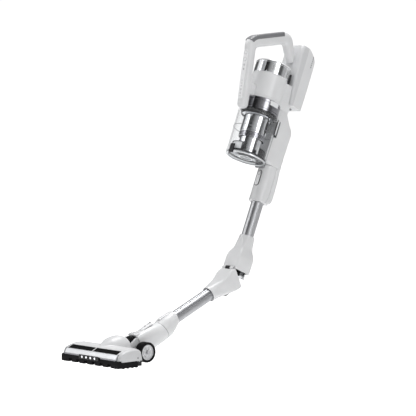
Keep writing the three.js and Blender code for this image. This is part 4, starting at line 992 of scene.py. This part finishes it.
def build_upper_wand():
    piece("upper_tube_flutes", "upper_wand", fluted(TUBE["bottom"], TUBE["top"]), UPPER, UPPER_TUBE,
          ["upper_tube"], "aluminium", sharp=20)
    face, half, outer = KNEE["face"], KNEE["half"], KNEE["outer"]
    body = knee_shell([station(117, 20.6, 20.6, -20.6), station(115.5, 21.6, 21.6, -21.6),
                       station(92, 21.2, 21, -21.4, 11, 15), station(78, 22.6, 22.6, -22.4, 9, 12),
                       station(65, 26, 27.6, -26, 6.5, 9), station(50, 28, 31.8, -28, 6, 8),
                       station(32, 28, 33, -27.4, 6, 7), station(face + 1.2, 27.4, 33, -26, 6, 6),
                       station(face, 26.6, 32, -25, 5, 5)], 22, 1)
    spans = ((-outer - 0.4, -half), (half, outer + 0.4))
    relief = [across(rod(KNEE["relief"], *span, 0, 40), KNEE["hinge_y"], KNEE["hinge_z"])
              for span in spans]
    catch_room = box((-11.4, 11.4), (0, 38.4), (-24.9, -20.5))
    piece("upper_knee_shell", "upper_wand", body, UPPER, WHITE, ["upper_knee_housing"], bevel=0.5,
          sharp=38, cuts=[*relief, catch_room])
    piece("knee_barrel", "upper_wand", knuckles([(-half, half)], 1), UPPER, DARK, sharp=30)
    keep(STEEL, "knee_pin")
    hook = joined(box((-11, 11), (-2, 38), (-24.5, -22)), box((-11, 11), (-2, 3), (-24.5, -19.5)))
    piece("knee_hook", "upper_wand", hook, UPPER, CHROME, ["knee_latch"], "chrome", bevel=0.7)
    build_knee_hose()


def build_knee_hose():
    """A ribbed hose through the knee, bent round the same curve as its CAD stand-in."""
    bend = knee_bend()
    far = (-60 * math.cos(bend), 60 * math.sin(bend))
    path = rounded_path(((62, 0), (0, 0), far), 34, 40)
    even = evenly(path, 73)
    hose = ribbed_hose("ribbed_knee_hose", even, ripple(14, 11.6, 12), UPPER)
    finish_hose(hose, "knee_hose")


def knee_bend():
    return Vector(JOINTS["upper_wand_pull"]["axis"]).angle(Vector(JOINTS["neck_pull"]["axis"]))


def evenly(path, count):
    """A path's places and directions, taken again at even distances."""
    lengths = [0]
    for (a, _), (b, _) in zip(path, path[1:]):
        lengths.append(lengths[-1] + (b - a).length)
    result = []
    for i in range(count):
        goal = lengths[-1] * i / (count - 1)
        k = max(0, min(len(path) - 2, sum(length < goal for length in lengths) - 1))
        step = max(lengths[k + 1] - lengths[k], 1e-9)
        t = (goal - lengths[k]) / step
        (a, heading_a), (b, heading_b) = path[k], path[k + 1]
        result.append((a.lerp(b, t), heading_a.lerp(heading_b, t).normalized()))
    return result


def ribbed_hose(name, even, radii, matrix):
    """A round tube along evenly taken places, with a radius for each of them."""
    turns = [2 * math.pi * i / HOSE_SIDES for i in range(HOSE_SIDES)]
    circles = [[(radius * math.sin(a), radius * math.cos(a)) for a in turns] for radius in radii]
    return linked(name, mesh_of(name, skin(path_rings(even, circles)), matrix))


def finish_hose(hose, stands_for):
    hose.data.materials.append(RUBBER)
    shaded(hose.data, 40)
    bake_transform(hose)
    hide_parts(stands_for)


def build_lower_wand():
    # The lower tube takes the darker metal: painted shade.
    piece("lower_tube_flutes", "lower_wand", fluted(-TUBE["top"], -TUBE["bottom"]), LOWER, LOWER_TUBE,
          ["lower_tube"], "aluminium", sharp=20)
    face, half, outer = KNEE["face"], KNEE["half"], KNEE["outer"]
    body = knee_shell([station(111, 20.6, 20.6, -20.6), station(109.5, 21.6, 21.6, -21.6),
                       station(86, 21.8, 21.4, -21.8, 12, 15), station(60, 25.5, 22.5, -24.6, 7, 10),
                       station(32, 28, 32.4, -28, 6, 8), station(face + 1.2, 28, 33, -28, 6, 7),
                       station(face, 27, 32, -27, 5, 6)], 21, -1)
    relief = across(rod(KNEE["relief"], -half - 0.4, half + 0.4, 0, 40), -KNEE["hinge_y"],
                    KNEE["hinge_z"])
    slot_room = box((-8.3, 8.3), (-61.3, -42.7), (-60, -15))
    notch = box((-11.7, 11.7), (-30.5, 0), (-49, -18.6))
    piece("lower_knee_shell", "lower_wand", body, LOWER, WHITE, ["lower_knee_housing"], bevel=0.5,
          sharp=38, cuts=[relief, slot_room, notch])
    piece("knee_ears", "lower_wand", knuckles([(-outer, -half - 0.3), (half + 0.3, outer)], -1), LOWER,
          WHITE, sharp=30)
    piece("tube_collar", "lower_wand", pipe(19, 17.3, -112.6, -108, 0), LOWER, GREY, slot="dark_plastic",
          bevel=0.6)
    ribs = [box((-6.5, 6.5), (y, y + 1.4), (-32.2, -30.6)) for y in (-57, -54, -51, -48)]
    piece("knee_button_cap", "knee_button", joined(box((-8, 8), (-61, -43), (-31, -22)), *ribs), LOWER,
          RUBBER, ["knee_button"], "dark_plastic", bevel=1.0)
    build_wand_end()


def seam_section(at, grow=0.0):
    radius = SEAM["radius"] + grow
    return station(at, radius, radius - SEAM["drop"], -radius - SEAM["drop"], tilt=SEAM["tilt"])


def build_wand_end():
    """The lower wand's end, whose spigot plugs into the neck at a slanted seam."""
    shell = loft(seam_section(SEAM["y"] + 0.6, -0.3), seam_section(SEAM["y"] + 1.3),
                 station(-284, 27, 21.5, -33, 20, 24), station(-266, 24, 22, -26, 19, 22),
                 station(-252.5, 20.8, 22, -19.5, 18, 19), station(-251, 19.8, 21, -18.5, 17, 18))
    spigot = pipe(18.9, 15.5, -340, -290, 0)
    piece("wand_end_shell", "lower_wand", joined(shell, spigot), LOWER, WHITE, ["wand_end"], sharp=45)
    seam = loft(seam_section(SEAM["y"] - 1, 0.05), seam_section(SEAM["y"] + 0.7, 0.05))
    piece("seam_ring", "lower_wand", seam, LOWER, GREY)
    ridge = loft(station(-300, 5, 24.6, 16, 2, 2), station(-282, 6, 24.8, 16, 2, 2),
                 station(-262, 4, 23.6, 16, 2, 2))
    piece("wand_end_ridge", "lower_wand", ridge, LOWER, TRIM, bevel=1.2)


# ---------------------------------------------------------------- neck


def build_neck():
    """The neck's shell, the cheeks on the wheel axle, and the comb over the hose."""
    body = loft(station(-398, 22.6, 27.2, -21, 14, 14), station(-396.8, 23.6, 28, -22, 15, 15),
                station(-372, 25, 26.5, -33, 18, 18), station(-335, 27.6, 23.5, -36.5, 24, 24),
                seam_section(SEAM["y"] - 2), seam_section(SEAM["y"] - 1.1, -0.2))
    cheek = [(146, 15), (163, 20), (161, 32), (148, 62), (141, 62), (133.5, 56.5), (124, 49.5),
             (115.5, 43), (116.5, 36), (122, 26), (132, 18)]
    cheeks = joined(*(side_slab(cheek, 13.2, 19.5, side) for side in (-1, 1)))
    mouth = rod(15, -440, -345, 11, 48)
    socket = rod(19.2, -341, -280, 0)
    pocket = stadium(9.3, -368.3, -327.7, 20, 60)
    piece("neck_shell", "neck", body, LOWER, WHITE, ["neck_body"], bevel=0.4, sharp=40,
          cuts=[mouth, socket, pocket])
    piece("neck_cheeks", "neck", cheeks, HEAD, WHITE, bevel=1.0,
          cuts=[on_axle(rod(AXLE["radius"] + 0.3, -40, 40, 0, 32))])
    lean = Matrix.Translation((0, -348, 25)) @ Matrix.Rotation(math.radians(-4.6), 4, "X")
    rim = moved(stadium(10, -369, -327, -6, 0), lean @ Matrix.Translation((0, 348, 0)))
    piece("latch_surround", "neck", rim, LOWER, MARK, slot="soft_grey", bevel=0.4, cuts=[pocket])
    collar = loft(station(-399, 17, 30.2, 27, 3, 1), station(-390, 16.5, 30.8, 26, 4, 1),
                  station(-380, 14, 28.5, 24, 3, 1))
    slots = [box((x - 1.6, x + 1.6), (-396, -385), (28, 40)) for x in (-11, -5.5, 0, 5.5, 11)]
    piece("neck_collar", "neck", collar, LOWER, TRIM, bevel=0.6, cuts=slots)
    build_neck_latch()


def build_neck_latch():
    rows = ((-367.5, 6, 26.4), (-363, 8.6, 28.2), (-346, 8.6, 29), (-333, 8.6, 29.4), (-329, 7.6, 28.4))
    latch = loft(*(station(at, half, front, 22, 4, 2) for at, half, front in rows))
    piece("neck_latch_cap", "neck_latch", latch, LOWER, TRIM, ["neck_latch"], bevel=0.8,
          cuts=[box((-5.5, 5.5), (y, y + 1.2), (28.4, 40)) for y in (-336, -339, -342)])
    piece("latch_dot", "neck_latch", moved_to(rod(1.9, 28.2, 29.6, 0, 20), -350), LOWER, DARK,
          slot="soft_grey")
    piece("latch_tip", "neck_latch", box((-4, 4), (-332.4, -329), (24, 30)), LOWER, DARK,
          slot="soft_grey", bevel=0.5)


def build_bellows():
    """The black ribbed hose between the neck and the head."""
    inside = HEAD.inverted() @ (LOWER @ Vector((0, -395, 11.5)))
    path = rounded_path(((96, 52), ((96 + inside.y) / 2, 54), (inside.y, inside.z)), 12, 20)
    even = evenly(path, 49)
    hose = ribbed_hose("ribbed_neck_hose", even, ripple(12.7, 10.6, 8), HEAD)
    finish_hose(hose, "neck_bellows")


# ---------------------------------------------------------------- wheels and head


def build_wheels():
    """Both wheels: a ribbed tyre round a dished hub with a bright ring and six spokes."""
    r, hub = WHEEL["radius"], WHEEL["hub"]
    a, b = WHEEL["inner"], WHEEL["outer"]
    tread = [(r - 1.6, a), (r - 0.4, a + 1)]
    for i in range(6):
        y = a + 2.4 + i * 3.4
        tread += [(r, y), (r, y + 2.2), (r - 0.8, y + 2.5), (r - 0.8, y + 3.1)]
    tread += [(r - 0.4, b - 1), (r - 1.6, b)]
    tyre = lathe([(hub + 0.3, a), *tread, (hub + 0.1, b), (hub - 0.3, b - 1), (hub + 0.3, b - 3)], 0)
    dish = lathe([(4.6, a + 1), (hub, a + 1), (hub, b - 3.4), (hub - 1, b - 2.6), (hub - 2.4, b - 2.6),
                  (hub - 3.2, b - 4.4), (12.6, b - 5.4), (12, b - 4), (10.6, b - 4), (10, b - 5.2),
                  (6.4, b - 5.2), (6, b - 3.4), (4.6, b - 3.2)], 0)
    for side, sign in (("left", 1), ("right", -1)):
        piece(f"tyre_tread_{side}", f"wheel_{side}", on_axle(tyre, sign), HEAD, TYRE, [f"tyre_{side}"],
              "tyre", sharp=30)
        # The hub dishes take the darker white: painted shade.
        piece(f"hub_dish_{side}", f"wheel_{side}", on_axle(dish, sign), HEAD, WHITE_PAINTED_SHADE, [f"hub_{side}"],
              "white_trim", sharp=30)
        ring = pipe(hub - 0.4, hub - 1.8, b - 2.9, b - 2.2, 0)
        piece(f"hub_ring_{side}", f"wheel_{side}", on_axle(ring, sign), HEAD, SILVER, bevel=0.3)
        spokes = [moved(box((-1.1, 1.1), (b - 6, b - 4.4), (5, 16.5)),
                        Matrix.Rotation(math.radians(60 * i), 4, "Y")) for i in range(6)]
        piece(f"hub_spokes_{side}", f"wheel_{side}", on_axle(joined(*spokes), sign), HEAD, TRIM,
              bevel=0.4)
    keep(STEEL, "wheel_axle")
    keep(DARK, "wheel_truck")


def shell_outline():
    """The head's cross-section, from the rear over the top to the front."""
    return [(80, 14), (80, 34), (78, 40), (75, 44), (71, 46.8), (66, 48.8), (56, 49.8), (46, 49.6),
            (36, 48.6), (28, 47.2), (22.5, 45.8), (14, 41.8), (5.6, 37.7), (2.6, 22.3), (7.4, 22.3),
            (7.4, 14)]


def build_head_shell():
    """The head's white cover and its hump, remeshed together so that they flow into each other."""
    half = HEAD_SIZE["inner"]
    body = slab(shell_outline(), -half, half)
    hump = loft(station(27, 3, 44.5, 34, 2.5, 2), station(34, 9, 48.5, 32, 7, 3),
                station(46, 19, 56, 30, 14, 3), station(60, 27, 64.5, 17, 20, 3),
                station(78, 31, 70, 17, 24, 3), station(94, 32, 71.5, 17, 25, 3),
                station(105, 31, 69, 17, 24, 3), station(112, 30, 65, 17, 22, 3))
    hollow = loft(station(90, 21, 66.5, 7, 14, 4), station(122, 30.5, 68, 7, 14, 4))
    sweep = on_axle(rod(42, -26, 26, 0, 64))
    duct = rod(14, 44, 92, 40, 40)
    brush_room = across(rod(20.9, *BRUSH_ROOM, 0, 64), BRUSH["y"], BRUSH["z"])
    below = box(BRUSH_ROOM, (7.1, 48.9), (-5, 20.5))
    rear_room = box(BRUSH_ROOM, (52, 77), (0, 40))
    slot = box((90, 100), (40, 60), (0, 36))
    panes = [pane_outline(0.3, side) for side in (-1, 1)]
    holes = [side_slab([(8, 38), (20, 44), (23, 37), (12, 30)], 5, 99, side) for side in (-1, 1)]
    stripe_room = slab([(-6, 22), (4.4, 39.4), (6.6, 36.2), (2.4, 22)], -HEAD_SIZE["half"],
                       HEAD_SIZE["half"])
    piece("head_cover", "head", joined(body, hump), HEAD, WHITE, ["head_shell"], sharp=42, remesh=1.25,
          relax=5, cuts=[hollow, sweep, duct, brush_room, below, rear_room, slot, *panes, *holes,
                         stripe_room])


def pane_outline(grow, side):
    """One roller window: a slanting plate behind the head's front edge."""
    (y0, z0), (y1, z1), depth = WINDOW["front"], WINDOW["back"], WINDOW["depth"]
    above = 4 * grow
    outline = [(y0 - grow, z0 + above), (y1 + grow, z1 + above), (y1 + grow, z1 - depth - grow),
               (y0 + depth / 2 - grow, z0 - depth - grow)]
    return side_slab(outline, WINDOW["inner"] - grow, WINDOW["outer"] + grow, side)


def build_head_trim():
    for side, name in ((1, "left"), (-1, "right")):
        piece(f"window_pane_{name}", "head", pane_outline(0, side), HEAD, SMOKED,
              [f"roller_window_{name}"], "smoked_plastic", bevel=0.7)
    cap_edge = [(-2.4, 22.4), (0.4, 31), (5.2, 38.6), (8.4, 37.2), (4.0, 30), (2.6, 22.4)]
    for side, name, body in END_BODIES:
        edge = side_slab(cap_edge, 106.1, 109.4, side)
        piece(f"cap_edge_{name}", body, edge, HEAD, GREY, bevel=0.6)
    low, middle, high = STRIPE["low"], STRIPE["middle"], STRIPE["high"]
    outline = [low, middle, high, (6.2, 36.4), (1.4, 22.3)]
    half = HEAD_SIZE["inner"] - 0.2
    piece("silver_stripe", "head", slab(outline, -half, half), HEAD, SILVER, ["trim_stripe"],
          "polished_metal", bevel=0.5)
    gloss = slab([(-3.4, 21.6), (-4.2, 22.4), (-2.9, 25.6), (-2.3, 25.2)], -half, half)
    piece("stripe_lip", "head", gloss, HEAD, BAND_METAL, slot="dark_plastic", bevel=0.3)


def side_cap(side):
    """An end cap: an outline carried outwards, and drawn in towards its middle as it goes."""
    outline = [(7.1, 18.6), (7.1, 22.3), (-0.8, 22.3), (1.4, 31), (6, 38.2), (14, 42), (22, 45), (34, 48),
               (44, 49.2), (56, 49), (66, 47.6), (71, 45.6), (75, 42), (77.6, 34), (79, 18.6)]
    rings = []
    middle = Vector((42, 30))
    steps = ((106, 0), (110, 0.25), (113.5, 1.1), (116, 2.6), (117.6, 4.8), (HEAD_SIZE["half"], 7))
    for x, shrink in steps:
        ring = []
        for y, z in outline:
            at = Vector((y, z))
            level = Vector(((middle.x - y) / middle.x * shrink * 0.6, 0))
            pull = (middle - at).normalized() * shrink if z > 29 else level
            ring.append((x, (at + pull).x, (at + pull).y))
        rings.append(ring)
    return on_side(skin(rings), side)


def build_side_caps():
    for side, name, body in END_BODIES:
        # The end caps take the darker white: painted shade.
        piece(f"end_cap_{name}", body, side_cap(side), HEAD, WHITE_PAINTED_SHADE, [f"side_cap_{name}"], sharp=40)
        mark = across(rod(1.8, 116.6, 118.1, 0, 24), 62, 26)
        piece(f"cap_screw_{name}", body, on_side(mark, side), HEAD, DARK)


def bumper_shape():
    """The black bar along the head's front, with its teeth and its arms along the sides."""
    half = HEAD_SIZE["half"]
    bar = slab([(-4, 12), (-4, 20), (-3, 22), (6.8, 22), (6.8, 12)], -half, half)
    arm = slab([(5.8, 3), (63, 3), (63, 12), (60, 18.3), (5.8, 18.3)], half - 6, half)
    corner = box((half - 12, half), (-4, 6.8), (3, 13))
    ends = [on_side(shape, side) for shape in (arm, corner) for side in (-1, 1)]
    teeth = []
    for i in range(TEETH["count"]):
        middle = (i + 0.5 - TEETH["count"] / 2) * TEETH["pitch"]
        tooth = [(-4, 3), (-4, 13), (6.8, 13), (6.8, 3), (0, 3)]
        teeth.append(slab(tooth, middle - TEETH["half"], middle + TEETH["half"]))
    return joined(bar, *ends, *teeth)


def build_bumper():
    piece("bumper_bar", "head", bumper_shape(), HEAD, RUBBER, ["front_bumper"], bevel=1.0)
    chips = [on_side(box((112.6, 118.6), (y, y + 5), (1.6, 5)), side) for side in (-1, 1)
             for y in (12, 27, 42, 56)]
    piece("skirt_blocks", "head", joined(*chips), HEAD, RUBBER, bevel=0.6)
    front = LIGHTS["front"]
    strip = loft_bar(LIGHTS["half"], front, LIGHTS["low"], LIGHTS["high"])
    piece("lamp_housing", "head", strip, HEAD, GLOSS_BLACK, ["headlight_bar"], bevel=1.4)
    middle = (LIGHTS["low"] + LIGHTS["high"]) / 2
    for i in range(LIGHTS["count"]):
        x = (i - (LIGHTS["count"] - 1) / 2) * LIGHTS["pitch"]
        cup = lathe([(0.01, 0), (2.5, 0), (2.3, 1.1), (1.5, 1.8), (0.01, 2)], 0, 32)
        ring = lathe([(2.5, -0.4), (3.3, -0.4), (3.3, 0.5), (3, 0.8), (2.5, 0.6)], 0, 32)
        turn = Matrix.Translation((x, front, middle)) @ Matrix.Rotation(math.pi, 4, "Z")
        piece(f"lamp_{i + 1}", "head", moved(cup, turn), HEAD, LENS, slot="white_trim", sharp=30)
        piece(f"lamp_ring_{i + 1}", "head", moved(ring, turn), HEAD, SILVER, sharp=30)


def loft_bar(half, front, low, high):
    outline = [(half, low), (half, high), (-half, high), (-half, low)]
    return skin([[(x, y, z) for x, z in outline] for y in (-4.2, front)])


def build_brush():
    """The roller: a twisted sleeve with four thick rows of bristles."""
    points, turns, count = ROUND, 0.5, 64
    length = BRUSH["end"] + BRUSH["half"]
    rings = []
    for i in range(count + 1):
        along = i / count
        ring = []
        for k in range(points):
            phase = (BRUSH["rows"] * k / points) % 1
            row = math.exp(-((min(phase, 1 - phase)) / 0.16) ** 2)
            jitter = 0.5 * math.sin(k * 12.9898 + i * 78.233)
            radius = BRUSH["core"] + 1.2 + (BRUSH["tip"] - BRUSH["core"] - 1.7 + jitter) * row
            angle = 2 * math.pi * (k / points + along * turns)
            ring.append((along * length - BRUSH["half"], BRUSH["y"] - radius * math.sin(angle),
                         BRUSH["z"] + radius * math.cos(angle)))
        rings.append(ring)
    piece("bristle_roll", "brush", skin(rings), HEAD, BRISTLES, ["brush_bristles"], "bristle", sharp=70)
    keep(DARK, "brush_core", "motor_pulley")
    keep(RUBBER, "drive_belt")
    keep(STEEL, "brush_motor")
    keep(GREY, "sole_roller_left", "sole_roller_right")
    keep(DARK, "head_base")


# ---------------------------------------------------------------- surroundings


def build_camera():
    azimuth, elevation = math.radians(CAMERA["azimuth"]), math.radians(CAMERA["elevation"])
    back = Vector((math.sin(azimuth) * math.cos(elevation), -math.cos(azimuth) * math.cos(elevation),
                   math.sin(elevation)))
    aim = Vector((0, JOINTS["knee"]["pos_m"][1] + AIM_BEHIND_KNEE, AIM_HEIGHT))
    data = bpy.data.cameras.new("camera")
    data.sensor_width = 36
    data.lens = CAMERA["lens_pixels"] / CAMERA["frame_pixels"] * data.sensor_width
    camera = linked("camera", data)
    camera.location = aim + back * CAMERA["distance"]
    camera.rotation_euler = (-back).to_track_quat("-Z", "Y").to_euler()
    bpy.context.scene.camera = camera


def build_floor():
    """A pale floor, low enough for every pose of the folding wand to stay above it."""
    h = FLOOR_HALF
    mesh = bpy.data.meshes.new("floor")
    corners = [(x, y, -FLOOR_DROP) for x, y in ((-h, -h), (h, -h), (h, h), (-h, h))]
    mesh.from_pydata(corners, [], [(0, 1, 2, 3)])
    floor = linked("floor", mesh)
    material, tree, shader = blank("pale_floor")
    vector = node(tree, "ShaderNodeTexCoord").outputs["Object"]
    tinted(tree, shader, vector, (0.93, 0.93, 0.93), 0.005, 2)
    set_inputs(shader, Roughness=0.9, Emission_Color=(1, 1, 1, 1))
    seen = node(tree, "ShaderNodeLightPath")
    glow = node(tree, "ShaderNodeMapRange")
    glow.inputs["To Min"].default_value = FLOOR_GLOW["lighting"]
    glow.inputs["To Max"].default_value = FLOOR_GLOW["seen"]
    wire(seen.outputs["Is Camera Ray"], glow.inputs["Value"])
    wire(glow.outputs["Result"], shader.inputs["Emission Strength"])
    mesh.materials.append(material)


def studio_sweep(tree, stops, strength):
    """A background whose brightness changes with the compass direction."""
    place = node(tree, "ShaderNodeTexCoord")
    parts = node(tree, "ShaderNodeSeparateXYZ")
    angle = node(tree, "ShaderNodeMath", operation="ARCTAN2")
    share = node(tree, "ShaderNodeMapRange")
    share.inputs["From Min"].default_value = -math.pi
    share.inputs["From Max"].default_value = math.pi
    ramp = node(tree, "ShaderNodeValToRGB")
    while len(ramp.color_ramp.elements) < len(stops):
        ramp.color_ramp.elements.new(0.5)
    for element, (position, value) in zip(ramp.color_ramp.elements, stops):
        element.position = position
        element.color = (value, value, value, 1)
    background = node(tree, "ShaderNodeBackground", Strength=strength)
    wire(place.outputs["Generated"], parts.inputs["Vector"])
    wire(parts.outputs["X"], angle.inputs[0])
    wire(parts.outputs["Y"], angle.inputs[1])
    wire(angle.outputs["Value"], share.inputs["Value"])
    wire(share.outputs["Result"], ramp.inputs["Fac"])
    wire(ramp.outputs["Color"], background.inputs["Color"])
    return background.outputs["Background"]


# Brightness round the horizon, by share of a turn: bright metal mirrors BANDS, and SWEEP lights the rest.
BANDS = ((0.0, 0.02), (0.06, 0.03), (0.09, 0.6), (0.115, 1.3), (0.19, 1.3), (0.225, 0.2), (0.3, 0.05),
         (0.36, 0.8), (0.41, 0.8), (0.45, 0.04), (0.52, 0.04), (0.57, 0.45), (0.64, 0.6), (0.68, 0.12),
         (0.72, 0.15), (0.75, 0.95), (0.81, 1.0), (0.85, 0.6), (0.9, 0.35), (0.95, 0.04), (1.0, 0.02))
SWEEP = ((0.0, 0.9), (0.25, 0.55), (0.5, 0.35), (0.62, 0.5), (0.8, 0.9), (1.0, 0.9))


def build_world():
    """A white studio, with soft dark bands that only bright surfaces mirror."""
    world = bpy.data.worlds.new("studio")
    bpy.context.scene.world = world
    world.use_nodes = True
    tree = world.node_tree
    seen = tree.nodes["Background"]
    seen.inputs["Color"].default_value = (1, 1, 1, 1)
    seen.inputs["Strength"].default_value = BACKDROP
    path = node(tree, "ShaderNodeLightPath")
    glossy = node(tree, "ShaderNodeMixShader")
    wire(path.outputs["Is Glossy Ray"], glossy.inputs["Fac"])
    wire(studio_sweep(tree, SWEEP, SWEEP_STRENGTH), glossy.inputs[1])
    wire(studio_sweep(tree, BANDS, BANDS_STRENGTH), glossy.inputs[2])
    mix = node(tree, "ShaderNodeMixShader")
    wire(path.outputs["Is Camera Ray"], mix.inputs["Fac"])
    wire(glossy.outputs["Shader"], mix.inputs[1])
    wire(seen.outputs["Background"], mix.inputs[2])
    wire(mix.outputs["Shader"], tree.nodes["World Output"].inputs["Surface"])


def add_light(name, place, size, power):
    data = bpy.data.lights.new(name, "AREA")
    data.shape = "RECTANGLE"
    data.size, data.size_y = size
    data.energy = power
    light = linked(name, data)
    light.location = place
    aim = Vector((0, 0, AIM_HEIGHT))
    light.rotation_euler = (aim - Vector(place)).to_track_quat("-Z", "Y").to_euler()


def build_lights():
    for name, (place, size, power) in STUDIO_LIGHTS.items():
        add_light(name, place, size, power)


build_camera()
build_floor()
build_world()
build_lights()
build_battery()
build_chassis()
build_motor()
build_cyclone()
build_filter_cap()
build_bin()
build_lid()
build_bin_lever()
build_handle()
build_connector()
build_upper_wand()
build_lower_wand()
build_neck()
build_bellows()
build_wheels()
build_head_shell()
build_head_trim()
build_side_caps()
build_bumper()
build_brush()
keep(STEEL, "suction_motor")
keep(UPPER_TUBE, "impeller")
bpy.context.scene.view_settings.view_transform = "Standard"
